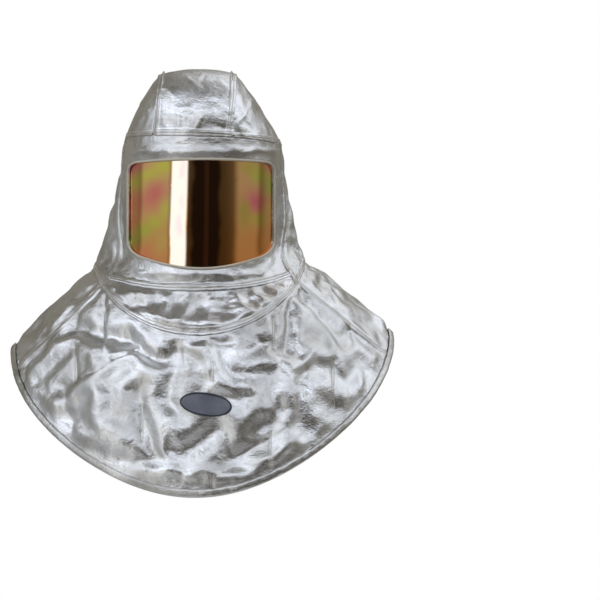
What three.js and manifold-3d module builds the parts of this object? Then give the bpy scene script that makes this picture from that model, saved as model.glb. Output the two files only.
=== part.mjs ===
// An aluminized fire-proximity hood: a three-panel crown, a face panel with a curved gold window, a chin
// panel, side and back panels, and a wide skirt that lies over the shoulders, with a woven lining and a
// bound hem. Millimetres, +Z up, front towards -Y. The origin is where the top of the head carries the
// crown, on its inner face.
// Azimuths are degrees round the Z axis, 0 at the front and 90 towards +X. Positive shift and skew favour
// +X.
import * as THREE from "three";
import Module from "manifold-3d";

const wasm = await Module();
wasm.setup();
const { degToRad, radToDeg, lerp, smoothstep } = THREE.MathUtils;

// Walls, and the gaps between pieces: side by side at a seam, at brow and collar, and laid one on the other
const shellWall = 1.6;
const faceWall = 2.2;
const liningWall = 1.0;
const windowWall = 2.0;
const seamGap = 0.4;
const ringGap = 0.95;
const layGap = 0.35;
const liningDepth = faceWall + layGap;

// The crown: a strip from front to back with a panel on each side
const crownTopZ = liningDepth + liningWall;
const stripHalfWidth = 57;
const stripDrop = 7;
const stripFrontShift = -13;
const stripBackShift = 2;
const stripTopShift = -5;
const crownBulge = 3;

// How near the panels of the crown come to the brow's front and back, as a share of the way over it
const stripEnd = 0.002;
const crownSideEnd = 0.012;

// The brow, where the crown meets the face, side and back panels
const browHalfWidth = 117.5;
const browFront = 142;
const browBack = 154;
const browFrontZ = -102;
const browSideZ = -103;
const browBackZ = -150;
const browShift = 3;
const browSkew = -5;

// The collar, where the head meets the skirt
const collarHalfWidth = 158;
const collarFront = 186;
const collarBack = 178;
const collarFrontZ = -388;
const collarSideZ = -287;
const collarBackZ = -290;
const collarShift = -2;
const collarSkew = 4;

// The hem, which rises to a tip over each shoulder
const hemHalfWidth = 286;
const hemFront = 236;
const hemBack = 205;
const hemFrontZ = -618;
const hemSideZ = -403;
const hemBackZ = -448;
const hemShift = 2;
const hemSkew = 11;

// The window, seen straight from the front, with the bead round it and the lap behind the face panel
const windowHalfWidth = 106;
const windowTopZ = -138;
const windowBottomZ = -293;
const windowTopBow = 2;
const windowBottomBow = 14;
const windowTopCorner = 14;
const windowBottomCorner = 28;
const windowLap = 9;
const beadWidth = 3;
const beadProud = 0.8;

// The binding folded round the hem
const bindingHeight = 10;
const bindingWall = 0.9;

// The oval patch on the front of the skirt
const patchHalfWidth = 37;
const patchHalfHeight = 16.5;
const patchX = 7;
const patchZ = -488;
const patchTurn = -7.5;
const patchWall = 1.0;

// Azimuth of each seam at the top and at the bottom of its panels, and how far it bows back between them
const faceSeam = { top: 81, low: 57, bow: 8 };
const napeSeam = { top: 143, low: 149, bow: 0 };
const frontShoulderSeam = { top: 59, low: 80, bow: 0 };
const backShoulderSeam = { top: 125, low: 122, bow: 0 };

// The seam under the face panel, as a share of the way from brow to collar, at the front and at the side
const jawFront = 0.78;
const jawSide = 0.93;

// The plan of the head keeps to the width of the brow round the face, out to this azimuth
const faceTurn = 56;

// Depth and width of a fold at share 1 in the table of folds, and the radius for measuring its azimuths
const foldDepth = 8;
const foldWidth = 24;
const foldRadius = 225;

// Steps along and across each panel
const faceColumns = 16;
const sideColumns = 10;
const napeColumns = 6;
const bibColumns = 18;
const shoulderColumns = 8;
const backColumns = 10;
const faceRows = 7;
const chinRows = 3;
const skirtRows = 8;
const crownLengthSteps = 16;
const stripColumns = 6;
const crownSideRows = 4;

const brow = {
  halfWidth: browHalfWidth, faceWidth: browHalfWidth, front: browFront, back: browBack,
  frontZ: browFrontZ, sideZ: browSideZ, backZ: browBackZ,
  square: 2.2, frontDip: 1.3, backDip: 1.3, shift: browShift, skew: browSkew,
};
const collar = {
  halfWidth: collarHalfWidth, faceWidth: collarHalfWidth, front: collarFront, back: collarBack,
  frontZ: collarFrontZ, sideZ: collarSideZ, backZ: collarBackZ,
  square: 2.3, frontDip: 2.0, backDip: 1.3, shift: collarShift, skew: collarSkew,
};
const hem = {
  halfWidth: hemHalfWidth, faceWidth: hemHalfWidth, front: hemFront, back: hemBack,
  frontZ: hemFrontZ, sideZ: hemSideZ, backZ: hemBackZ,
  square: 2.1, frontDip: 1.11, backDip: 0.8, shift: hemShift, skew: hemSkew,
};

// Crown strip from front to back. reach is a share of the brow's front (negative) or back, and rise is
// a share of the crown's height.
const stripProfile = [
  { at: 0.0, reach: -1.0, rise: 0.0 },
  { at: 0.13, reach: -0.94, rise: 0.4 },
  { at: 0.26, reach: -0.74, rise: 0.76 },
  { at: 0.38, reach: -0.42, rise: 0.95 },
  { at: 0.5, reach: 0.0, rise: 1.0 },
  { at: 0.62, reach: 0.4, rise: 0.96 },
  { at: 0.75, reach: 0.72, rise: 0.8 },
  { at: 0.88, reach: 0.93, rise: 0.43 },
  { at: 1.0, reach: 1.0, rise: 0.0 },
];

// Head from brow to collar and skirt from collar to hem. Each column is the share of the way from the upper
// ring's size to the lower ring's: the half width, the width round the face, the front, the back and the
// heights.
const headSections = [
  { at: 0.0, wide: 0.0, face: 0.0, front: 0.0, back: 0.0, frontZ: 0.0, sideZ: 0.0, backZ: 0.0 },
  { at: 0.25, wide: 0.15, face: 0.0, front: 0.02, back: 0.3, frontZ: 0.25, sideZ: 0.28, backZ: 0.26 },
  { at: 0.5, wide: 0.42, face: 0.0, front: 0.05, back: 0.56, frontZ: 0.5, sideZ: 0.56, backZ: 0.52 },
  { at: 0.78, wide: 0.72, face: 0.1, front: 0.14, back: 0.8, frontZ: 0.78, sideZ: 0.84, backZ: 0.8 },
  { at: 1.0, wide: 1.0, face: 1.0, front: 1.0, back: 1.0, frontZ: 1.0, sideZ: 1.0, backZ: 1.0 },
];
const skirtSections = [
  { at: 0.0, wide: 0.0, face: 0.0, front: 0.0, back: 0.0, frontZ: 0.0, sideZ: 0.0, backZ: 0.0 },
  { at: 0.35, wide: 0.36, face: 0.36, front: 0.5, back: 0.44, frontZ: 0.34, sideZ: 0.34, backZ: 0.34 },
  { at: 0.7, wide: 0.71, face: 0.71, front: 0.86, back: 0.8, frontZ: 0.69, sideZ: 0.69, backZ: 0.69 },
  { at: 1.0, wide: 1.0, face: 1.0, front: 1.0, back: 1.0, frontZ: 1.0, sideZ: 1.0, backZ: 1.0 },
];

// Folds of the skirt. Each runs from one azimuth and share of the way down to another, and rises or sinks
// by a share of foldDepth over a share of foldWidth.
const skirtFolds = [
  { name: "left slant, outer", from: -61, fromDrop: 0.36, to: -32, toDrop: 0.16, depth: -0.8, width: 0.6 },
  { name: "left slant, inner", from: -32, fromDrop: 0.16, to: -17, toDrop: 0.2, depth: -0.7, width: 0.55 },
  { name: "left upright", from: -50, fromDrop: 0.05, to: -47, toDrop: 0.28, depth: -0.7, width: 0.5 },
  { name: "left swell", from: -42, fromDrop: 0.45, to: -36, toDrop: 0.75, depth: 0.8, width: 1.3 },
  { name: "left quilt crease", from: -24, fromDrop: 0.45, to: -17, toDrop: 0.8, depth: -0.6, width: 0.6 },
  { name: "centre hollow", from: -11, fromDrop: 0.15, to: -13, toDrop: 0.42, depth: -0.8, width: 0.7 },
  { name: "centre ridge", from: 2, fromDrop: 0.1, to: 7, toDrop: 0.32, depth: 0.7, width: 0.6 },
  { name: "lower centre sag", from: -6, fromDrop: 0.74, to: 6, toDrop: 0.6, depth: -0.8, width: 0.8 },
  { name: "lower right dent", from: 12, fromDrop: 0.78, to: 27, toDrop: 0.68, depth: -1.0, width: 1.1 },
  { name: "right upright, high", from: 47, fromDrop: 0.04, to: 37, toDrop: 0.3, depth: -1.0, width: 0.55 },
  { name: "right upright, low", from: 34, fromDrop: 0.45, to: 27, toDrop: 0.95, depth: 0.7, width: 0.7 },
  { name: "right side crease", from: 56, fromDrop: 0.08, to: 62, toDrop: 0.55, depth: -0.7, width: 0.55 },
  { name: "left shoulder roll", from: -96, fromDrop: 0.2, to: -92, toDrop: 0.9, depth: 0.2, width: 0.9 },
  { name: "right shoulder roll", from: 97, fromDrop: 0.2, to: 93, toDrop: 0.9, depth: 0.6, width: 0.9 },
  { name: "back valley", from: 205, fromDrop: 0.1, to: 196, toDrop: 0.95, depth: -0.8, width: 0.9 },
  { name: "back ridge", from: 150, fromDrop: 0.1, to: 145, toDrop: 0.95, depth: 0.9, width: 0.8 },
  { name: "back dent", from: 172, fromDrop: 0.3, to: 166, toDrop: 0.7, depth: -0.9, width: 0.8 },
];

const silver = { color: 0xc9cacb, roughness: 0.3, metalness: 0.9 };
const materials = {
  shell: new THREE.MeshStandardMaterial(silver),
  lining: new THREE.MeshStandardMaterial({ color: 0xb2ac68, roughness: 0.95, metalness: 0 }),
  window: new THREE.MeshStandardMaterial({ color: 0xb46a34, roughness: 0.05, metalness: 1 }),
  trim: new THREE.MeshStandardMaterial({ ...silver, color: 0xb4b3ab, roughness: 0.4 }),
  patch: new THREE.MeshStandardMaterial({ color: 0x6c717f, roughness: 0.5, metalness: 0 }),
};

const hood = new THREE.Group();

// Value of a column of a table between its rows, smooth through them.
function along(table, column, at) {
  let i = 1;
  while (i < table.length - 1 && at > table[i].at) i++;
  const [a, b] = [table[i - 1], table[i]];
  const before = table[i - 2] ?? a;
  const after = table[i + 1] ?? b;
  const span = b.at - a.at;
  const slopeA = ((b[column] - before[column]) / (b.at - before.at)) * span;
  const slopeB = ((after[column] - a[column]) / (after.at - a.at)) * span;
  const s = (at - a.at) / span;
  const rise = b[column] - a[column];
  const square = 3 * rise - 2 * slopeA - slopeB;
  const cube = slopeA + slopeB - 2 * rise;
  return a[column] + slopeA * s + square * s ** 2 + cube * s ** 3;
}

// The ring between two rings, at a place in a table of sections.
function ringBetween(upper, lower, sections, at) {
  const mixed = (size, column) => lerp(upper[size], lower[size], along(sections, column, at));
  return {
    halfWidth: mixed("halfWidth", "wide"),
    faceWidth: mixed("faceWidth", "face"),
    front: mixed("front", "front"),
    back: mixed("back", "back"),
    frontZ: mixed("frontZ", "frontZ"),
    sideZ: mixed("sideZ", "sideZ"),
    backZ: mixed("backZ", "backZ"),
    square: mixed("square", "wide"),
    frontDip: mixed("frontDip", "wide"),
    backDip: mixed("backDip", "wide"),
    shift: mixed("shift", "wide"),
    skew: mixed("skew", "wide"),
  };
}

function ringHeight(ring, azimuth) {
  const facing = Math.cos(degToRad(azimuth));
  const [endZ, dip] = facing > 0 ? [ring.frontZ, ring.frontDip] : [ring.backZ, ring.backDip];
  const towardsEnd = (endZ - ring.sideZ) * Math.abs(facing) ** dip;
  return ring.sideZ + towardsEnd + ring.skew * Math.sin(degToRad(azimuth));
}

// Point of a ring: a rounded box in plan, which may be narrower round the face than at the side.
function ringPoint(ring, azimuth) {
  const [s, c] = [Math.sin(degToRad(azimuth)), Math.cos(degToRad(azimuth))];
  const depth = c > 0 ? ring.front : ring.back;
  const offFace = smoothstep(radToDeg(Math.acos(c)), faceTurn, 90);
  const width = lerp(ring.faceWidth, ring.halfWidth, offFace);
  const sum = Math.abs(s / width) ** ring.square + Math.abs(c / depth) ** ring.square;
  const radius = sum ** (-1 / ring.square);
  return new THREE.Vector3(ring.shift + radius * s, -radius * c, ringHeight(ring, azimuth));
}

// How far the folds stand out at an azimuth and share of the way down the skirt.
function foldHeight(azimuth, drop) {
  const arc = degToRad(foldRadius);
  const fall = collarFrontZ - hemFrontZ;
  const place = (degrees, share) => new THREE.Vector3(degrees * arc, share * fall, 0);
  const here = place(azimuth, drop);
  const heights = skirtFolds.map((fold) => {
    const crease = new THREE.Line3(place(fold.from, fold.fromDrop), place(fold.to, fold.toDrop));
    const nearest = crease.closestPointToPoint(here, true, new THREE.Vector3());
    const share = here.distanceTo(nearest) / (fold.width * foldWidth);
    return fold.depth * foldDepth * Math.exp(-(share ** 2));
  });
  return heights.reduce((sum, height) => sum + height, 0);
}

// Direction in which the cloth is thick: up at the top of the crown, level at the head, tilted up on the
// skirt.
function outward(p) {
  const crownRise = Math.max(0, p.z - browFrontZ);
  const onSkirt = smoothstep(-p.z, -collarSideZ - 40, -collarSideZ + 40);
  const lift = crownRise + 0.4 * onSkirt * Math.hypot(p.x, p.y);
  return new THREE.Vector3(p.x, p.y, lift).normalize();
}

const headPoint = (azimuth, at) => ringPoint(ringBetween(brow, collar, headSections, at), azimuth);

function skirtPoint(azimuth, at) {
  const p = ringPoint(ringBetween(collar, hem, skirtSections, at), azimuth);
  const height = [-360, 0, 360].reduce((sum, turn) => sum + foldHeight(azimuth + turn, at), 0);
  const held = smoothstep(at, 0, 0.12) * (1 - smoothstep(at, 0.85, 0.95));
  return p.addScaledVector(outward(p), height * held);
}

// Point of the crown strip: across from -1 to 1, along from the front at 0 to the back at 1.
function stripPoint(across, at) {
  const [reach, rise] = [along(stripProfile, "reach", at), along(stripProfile, "rise", at)];
  const endShift = reach < 0 ? stripFrontShift : stripBackShift;
  const x = lerp(endShift, stripTopShift, rise) + across * stripHalfWidth;
  const depth = reach < 0 ? browFront : browBack;
  const round = (1 - Math.abs((x - browShift) / browHalfWidth) ** brow.square) ** (1 / brow.square);
  const y = depth * Math.sign(reach) * round;
  const footZ = ringHeight(brow, radToDeg(Math.atan2(x - browShift, -y)));
  return new THREE.Vector3(x, y * Math.abs(reach), lerp(footZ, crownTopZ - stripDrop * across ** 2, rise));
}

// Point of a crown side panel: along from front to back, down from the strip's edge at 0 to the brow at 1.
function crownSidePoint(side, at, down) {
  const corner = (end) => {
    const p = stripPoint(side, end);
    return radToDeg(Math.atan2(p.x - browShift, -p.y));
  };
  const foot = ringPoint(brow, lerp(corner(0), corner(1), at));
  const p = stripPoint(side, at).lerp(foot, down);
  return p.addScaledVector(outward(p), crownBulge * 4 * down * (1 - down) * Math.sin(Math.PI * at));
}

// A closed solid from faces with three or four corners, which are merged where they meet.
function solidFrom(faces) {
  const [numbers, vertices, triangles] = [new Map(), [], []];
  const numberOf = (p) => {
    const key = p.toArray().map((v) => v.toFixed(4)).join();
    if (!numbers.has(key)) {
      numbers.set(key, numbers.size);
      vertices.push(p.x, p.y, p.z);
    }
    return numbers.get(key);
  };
  for (const [a, b, c, d] of faces.map((face) => face.map(numberOf))) {
    triangles.push(a, b, c);
    if (d !== undefined) triangles.push(a, c, d);
  }
  const vertProperties = new Float32Array(vertices);
  const made = (order) =>
    new wasm.Manifold(new wasm.Mesh({ numProp: 3, vertProperties, triVerts: new Uint32Array(order) }));
  const solid = made(triangles);
  return solid.volume() > 0 ? solid : made(triangles.reverse());
}

// A wall of cloth between two depths under a surface. With closed, its last column meets its first.
function clothWall(surface, columns, rows, outerDepth, innerDepth, closed = false) {
  const layer = (depth) =>
    columns.map((column) =>
      rows.map((row) => {
        const p = surface(column, row);
        return p.addScaledVector(outward(p), -depth);
      }),
    );
  const [outer, inner] = [layer(outerDepth), layer(innerDepth)];
  const faces = [];
  const end = rows.length - 1;
  const steps = closed ? columns.length : columns.length - 1;
  for (let i = 0; i < steps; i++) {
    const n = (i + 1) % columns.length;
    for (let j = 0; j < end; j++) {
      faces.push([outer[i][j], outer[n][j], outer[n][j + 1], outer[i][j + 1]]);
      faces.push([inner[i][j], inner[i][j + 1], inner[n][j + 1], inner[n][j]]);
    }
    faces.push([outer[i][0], inner[i][0], inner[n][0], outer[n][0]]);
    faces.push([outer[i][end], outer[n][end], inner[n][end], inner[i][end]]);
  }
  const last = columns.length - 1;
  for (let j = 0; j < end && !closed; j++) {
    faces.push([outer[0][j], outer[0][j + 1], inner[0][j + 1], inner[0][j]]);
    faces.push([outer[last][j], inner[last][j], inner[last][j + 1], outer[last][j + 1]]);
  }
  return solidFrom(faces);
}

const stepsBetween = (low, high, count) =>
  Array.from({ length: count + 1 }, (_, i) => lerp(low, high, i / count));

// Columns of a panel between two seams, from one to the other. Those on a seam stand off it by half the
// seam gap.
function panelColumns(left, right, count) {
  const standOff = (i) => (i === 0 ? seamGap / 2 : i === count ? -seamGap / 2 : 0);
  const column = (_, i) => ({ left, right, share: i / count, standOff: standOff(i) });
  return Array.from({ length: count + 1 }, column);
}

// Columns all the way round, from those of its panels, with no seams.
const ringColumns = (...panels) =>
  panels.flatMap((panel) => panel.slice(0, -1).map((column) => ({ ...column, standOff: 0 })));

function columnAzimuth(column, at) {
  const seamAzimuth = (seam) => lerp(seam.top, seam.low, at) + seam.bow * Math.sin(Math.PI * at);
  return lerp(seamAzimuth(column.left), seamAzimuth(column.right), column.share);
}

// Point of a column at a share of the way down, moved off its seam.
function columnPoint(point, column, at) {
  const azimuth = columnAzimuth(column, at);
  const p = point(azimuth, at);
  return column.standOff ? point(azimuth + radToDeg(column.standOff / Math.hypot(p.x, p.y)), at) : p;
}

// Head rows run from the brow at 0 to the jaw seam at 1 and the collar at 2.
function jawShare(column) {
  let at = jawFront;
  for (let i = 0; i < 4; i++) {
    const aside = Math.acos(Math.cos(degToRad(columnAzimuth(column, at)))) / degToRad(faceSeam.low);
    at = lerp(jawFront, jawSide, Math.min(1, aside) ** 2);
  }
  return at;
}
function onHead(column, row) {
  const jaw = jawShare(column);
  return columnPoint(headPoint, column, row < 1 ? row * jaw : lerp(jaw, 1, row - 1));
}
const headLength = browFrontZ - collarFrontZ;
const halfGap = seamGap / 2;
const halfRingGap = ringGap / 2;
const upperRows = stepsBetween(halfRingGap / headLength, 1 - halfGap / headLength, faceRows);
const chinLength = headLength * (1 - jawSide);
const lowerRows = stepsBetween(1 + halfGap / chinLength, 2 - halfRingGap / chinLength, chinRows);
const allHeadRows = [...upperRows, ...lowerRows];

// Skirt rows are a share of the way from the collar to the binding, or millimetres from the hem.
function onSkirt(column, row) {
  const length = columnPoint(skirtPoint, column, 0).distanceTo(columnPoint(skirtPoint, column, 1));
  const end = length - bindingHeight;
  const millimetres = row.share === undefined ? length - row.fromHem : lerp(halfRingGap, end, row.share);
  return columnPoint(skirtPoint, column, millimetres / length);
}
const shareRows = stepsBetween(0, 1, skirtRows).map((share) => ({ share }));
const clothRows = [...shareRows, { fromHem: bindingWall + layGap }];

const mirrored = (seam) => ({ top: -seam.top, low: -seam.low, bow: -seam.bow });
const wrapped = (seam) => ({ ...seam, top: seam.top + 360, low: seam.low + 360 });

const face = panelColumns(mirrored(faceSeam), faceSeam, faceColumns);
const sideRight = panelColumns(faceSeam, napeSeam, sideColumns);
const nape = panelColumns(napeSeam, wrapped(mirrored(napeSeam)), napeColumns);
const sideLeft = panelColumns(wrapped(mirrored(napeSeam)), wrapped(mirrored(faceSeam)), sideColumns);
const bib = panelColumns(mirrored(frontShoulderSeam), frontShoulderSeam, bibColumns);
const shoulderRight = panelColumns(frontShoulderSeam, backShoulderSeam, shoulderColumns);
const back = panelColumns(backShoulderSeam, wrapped(mirrored(backShoulderSeam)), backColumns);
const shoulderLeft = panelColumns(
  wrapped(mirrored(backShoulderSeam)),
  wrapped(mirrored(frontShoulderSeam)),
  shoulderColumns,
);
const wholeHead = ringColumns(face, sideRight, nape, sideLeft);
const wholeSkirt = ringColumns(bib, shoulderRight, back, shoulderLeft);

// A shape drawn in X and Z, run forward through the front of the hood.
function frontPrism(shape, curveSegments) {
  const depth = 2 * hemFront;
  const geometry = new THREE.ExtrudeGeometry(shape, { depth, bevelEnabled: false, curveSegments });
  geometry.rotateX(Math.PI / 2);
  const corners = geometry.getAttribute("position");
  const faces = [];
  for (let i = 0; i < corners.count; i += 3) {
    faces.push([0, 1, 2].map((k) => new THREE.Vector3().fromBufferAttribute(corners, i + k)));
  }
  return solidFrom(faces);
}

// The window's outline, grown by a margin.
function windowPrism(margin) {
  const [w, top, low] = [windowHalfWidth + margin, windowTopZ + margin, windowBottomZ - margin];
  const [topCorner, lowCorner] = [windowTopCorner + margin, windowBottomCorner + margin];
  const lowEnd = low + windowBottomBow;
  const shape = new THREE.Shape();
  shape.moveTo(-w + lowCorner, lowEnd);
  shape.quadraticCurveTo(0, low - windowBottomBow, w - lowCorner, lowEnd);
  shape.quadraticCurveTo(w, lowEnd + lowCorner / 4, w, lowEnd + lowCorner);
  shape.lineTo(w, top - windowTopBow - topCorner);
  shape.quadraticCurveTo(w, top - windowTopBow, w - topCorner, top - windowTopBow);
  shape.quadraticCurveTo(0, top + windowTopBow, -w + topCorner, top - windowTopBow);
  shape.quadraticCurveTo(-w, top - windowTopBow, -w, top - windowTopBow - topCorner);
  shape.lineTo(-w, lowEnd + lowCorner);
  shape.quadraticCurveTo(-w, lowEnd + lowCorner / 4, -w + lowCorner, lowEnd);
  return frontPrism(shape, 5);
}

function addPiece(name, solid, material) {
  const made = solid.getMesh();
  const geometry = new THREE.BufferGeometry();
  geometry.setAttribute("position", new THREE.BufferAttribute(new Float32Array(made.vertProperties), 3));
  geometry.setIndex(new THREE.BufferAttribute(new Uint32Array(made.triVerts), 1));
  geometry.computeVertexNormals();
  const mesh = new THREE.Mesh(geometry, material);
  mesh.name = name;
  hood.add(mesh);
}

const crownHeight = crownTopZ - browSideZ;
const crownAlong = (end) => stepsBetween(end, 1 - end, crownLengthSteps);
const acrossStrip = stepsBetween(-1 + halfGap / stripHalfWidth, 1 - halfGap / stripHalfWidth, stripColumns);
const downCrownSide = stepsBetween(halfGap / crownHeight, 1 - halfRingGap / crownHeight, crownSideRows);

function addCrown() {
  const strip = (at, across) => stripPoint(across, at);
  const stripWall = clothWall(strip, crownAlong(stripEnd), acrossStrip, 0, shellWall);
  addPiece("crown_strip", stripWall, materials.shell);
  for (const [name, side] of [["crown_side_left", -1], ["crown_side_right", 1]]) {
    const panel = (at, down) => crownSidePoint(side, at, down);
    addPiece(name, clothWall(panel, crownAlong(crownSideEnd), downCrownSide, 0, shellWall), materials.shell);
  }
}

function addCrownLining() {
  const downSide = stepsBetween(0, downCrownSide.at(-1), crownSideRows);
  const half = (side) => downSide.map((down) => ({ side, down }));
  const strip = stepsBetween(-1, 1, stripColumns).slice(1, -1).map((across) => ({ across }));
  const rows = [...half(-1).reverse(), ...strip, ...half(1)];
  const dome = (at, row) =>
    row.side ? crownSidePoint(row.side, at, row.down) : stripPoint(row.across, at);
  const solid = clothWall(dome, crownAlong(crownSideEnd), rows, liningDepth, liningDepth + liningWall);
  addPiece("crown_lining", solid, materials.lining);
}

function addHeadPanels() {
  const facePanel = clothWall(onHead, face, upperRows, 0, faceWall);
  addPiece("face_panel", facePanel.subtract(windowPrism(beadWidth + seamGap)), materials.shell);
  addPiece("chin_panel", clothWall(onHead, face, lowerRows, 0, shellWall), materials.shell);
  addPiece("head_side_left", clothWall(onHead, sideLeft, allHeadRows, 0, shellWall), materials.shell);
  addPiece("head_side_right", clothWall(onHead, sideRight, allHeadRows, 0, shellWall), materials.shell);
  addPiece("head_back", clothWall(onHead, nape, allHeadRows, 0, shellWall), materials.shell);
}

function addWindow() {
  const bead = clothWall(onHead, face, upperRows, -beadProud, faceWall);
  const ring = windowPrism(beadWidth).subtract(windowPrism(0));
  addPiece("window_bead", bead.intersect(ring), materials.trim);
  const pane = clothWall(onHead, face, upperRows, faceWall + layGap, faceWall + layGap + windowWall);
  addPiece("window", pane.intersect(windowPrism(windowLap)), materials.window);
}

function addHeadLining() {
  const tube = clothWall(onHead, wholeHead, allHeadRows, liningDepth, liningDepth + liningWall, true);
  addPiece("head_lining", tube.subtract(windowPrism(windowLap + 3 * seamGap)), materials.lining);
}

function addSkirt() {
  const panels = { bib, shoulder_right: shoulderRight, skirt_back: back, shoulder_left: shoulderLeft };
  for (const [name, columns] of Object.entries(panels)) {
    addPiece(name, clothWall(onSkirt, columns, clothRows, 0, shellWall), materials.shell);
  }
  const lining = clothWall(onSkirt, wholeSkirt, clothRows, liningDepth, liningDepth + liningWall, true);
  addPiece("skirt_lining", lining, materials.lining);
}

// The binding: a strip folded over the edge of the skirt and its lining, round the whole hem.
function addHemBinding() {
  const [outerFace, innerFace] = [-layGap, liningDepth + liningWall + layGap];
  const section = [
    { fromHem: bindingHeight, depth: outerFace - bindingWall },
    { fromHem: 0, depth: outerFace - bindingWall },
    { fromHem: 0, depth: innerFace + bindingWall },
    { fromHem: bindingHeight, depth: innerFace + bindingWall },
    { fromHem: bindingHeight, depth: innerFace },
    { fromHem: bindingWall, depth: innerFace },
    { fromHem: bindingWall, depth: outerFace },
    { fromHem: bindingHeight, depth: outerFace },
  ];
  const corner = (column, { fromHem, depth }) => {
    const p = onSkirt(column, { fromHem });
    return p.addScaledVector(outward(p), -depth);
  };
  const loops = wholeSkirt.map((column) => section.map((row) => corner(column, row)));
  // Each face is cut along the same diagonal as the cloth that it lies on, from its upper corner to its
  // lower one.
  const faces = loops.flatMap((loop, i) => {
    const next = loops[(i + 1) % loops.length];
    return loop.map((p, k) => {
      const m = (k + 1) % loop.length;
      const upward = section[m].fromHem > section[k].fromHem;
      return upward ? [next[k], next[m], loop[m], p] : [p, next[k], next[m], loop[m]];
    });
  });
  addPiece("hem_binding", solidFrom(faces), materials.trim);
}

function addPatch() {
  const shape = new THREE.Shape();
  const turn = degToRad(patchTurn);
  shape.absellipse(patchX, patchZ, patchHalfWidth, patchHalfHeight, 0, 2 * Math.PI, false, turn);
  const layer = clothWall(onSkirt, bib, clothRows, -layGap - patchWall, -layGap);
  addPiece("patch", layer.intersect(frontPrism(shape, 10)), materials.patch);
}

addCrown();
addHeadPanels();
addWindow();
addSkirt();
addHemBinding();
addPatch();
addCrownLining();
addHeadLining();

export default hood;
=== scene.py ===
# An aluminized hood: a sewn silver shell with a gold window, an olive lining and a bound hem.
# Lengths in the tables are millimetres and azimuths degrees, 0 at the front and 90 towards +X.
import math
import bmesh
import bpy
import numpy as np
from mathutils.kdtree import KDTree
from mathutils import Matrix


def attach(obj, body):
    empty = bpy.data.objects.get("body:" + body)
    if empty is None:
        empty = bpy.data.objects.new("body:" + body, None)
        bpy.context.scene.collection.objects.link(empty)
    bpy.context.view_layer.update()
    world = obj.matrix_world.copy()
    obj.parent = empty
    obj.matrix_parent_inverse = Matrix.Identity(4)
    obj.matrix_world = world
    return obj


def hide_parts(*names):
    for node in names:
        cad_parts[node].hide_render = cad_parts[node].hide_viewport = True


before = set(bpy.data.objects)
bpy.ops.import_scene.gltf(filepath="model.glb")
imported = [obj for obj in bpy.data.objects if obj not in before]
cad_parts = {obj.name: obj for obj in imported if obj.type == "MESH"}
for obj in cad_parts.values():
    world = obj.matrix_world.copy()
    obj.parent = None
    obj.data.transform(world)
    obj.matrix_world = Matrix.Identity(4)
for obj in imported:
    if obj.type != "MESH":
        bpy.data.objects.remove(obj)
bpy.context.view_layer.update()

# The rings that the cloth hangs between: size in plan, heights, and how square and how dipped they are
brow = dict(halfWidth=117.5, faceWidth=117.5, front=142, back=154, frontZ=-102, sideZ=-103, backZ=-150,
            square=2.2, frontDip=1.3, backDip=1.3, shift=3, skew=-5)
collar = dict(halfWidth=158, faceWidth=158, front=186, back=178, frontZ=-388, sideZ=-287, backZ=-290,
              square=2.3, frontDip=2.0, backDip=1.3, shift=-2, skew=4)
hem = dict(halfWidth=286, faceWidth=286, front=236, back=205, frontZ=-618, sideZ=-403, backZ=-448,
           square=2.1, frontDip=1.11, backDip=0.8, shift=2, skew=11)
faceTurn = 56
crown = dict(topZ=3.55, stripHalfWidth=57, stripDrop=7, frontShift=-13, backShift=2, topShift=-5, bulge=3)
wall = dict(face=2.2, lay=0.35, lining=1.0)

# Shares of the way from the upper ring's size to the lower one's, by share of the way down
headSections = dict(
    at=[0, 0.25, 0.5, 0.78, 1], wide=[0, 0.15, 0.42, 0.72, 1], face=[0, 0, 0, 0.1, 1],
    front=[0, 0.02, 0.05, 0.14, 1], back=[0, 0.3, 0.56, 0.8, 1],
    frontZ=[0, 0.25, 0.5, 0.78, 1], sideZ=[0, 0.28, 0.56, 0.84, 1], backZ=[0, 0.26, 0.52, 0.8, 1])
skirtSections = dict(
    at=[0, 0.35, 0.7, 1], wide=[0, 0.36, 0.71, 1], face=[0, 0.36, 0.71, 1],
    front=[0, 0.5, 0.86, 1], back=[0, 0.44, 0.8, 1],
    frontZ=[0, 0.34, 0.69, 1], sideZ=[0, 0.34, 0.69, 1], backZ=[0, 0.34, 0.69, 1])
stripProfile = dict(
    at=[0, 0.13, 0.26, 0.38, 0.5, 0.62, 0.75, 0.88, 1],
    reach=[-1, -0.94, -0.74, -0.42, 0, 0.4, 0.72, 0.93, 1],
    rise=[0, 0.4, 0.76, 0.95, 1, 0.96, 0.8, 0.43, 0])

# Azimuth of each seam at the top and at the bottom, and how far it bows back between
faceSeam, napeSeam = (81, 57, 8), (143, 149, 0)
bibSeam, backSeam = (59, 80, 0), (125, 122, 0)
jaw = dict(front=0.78, side=0.93)

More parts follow.
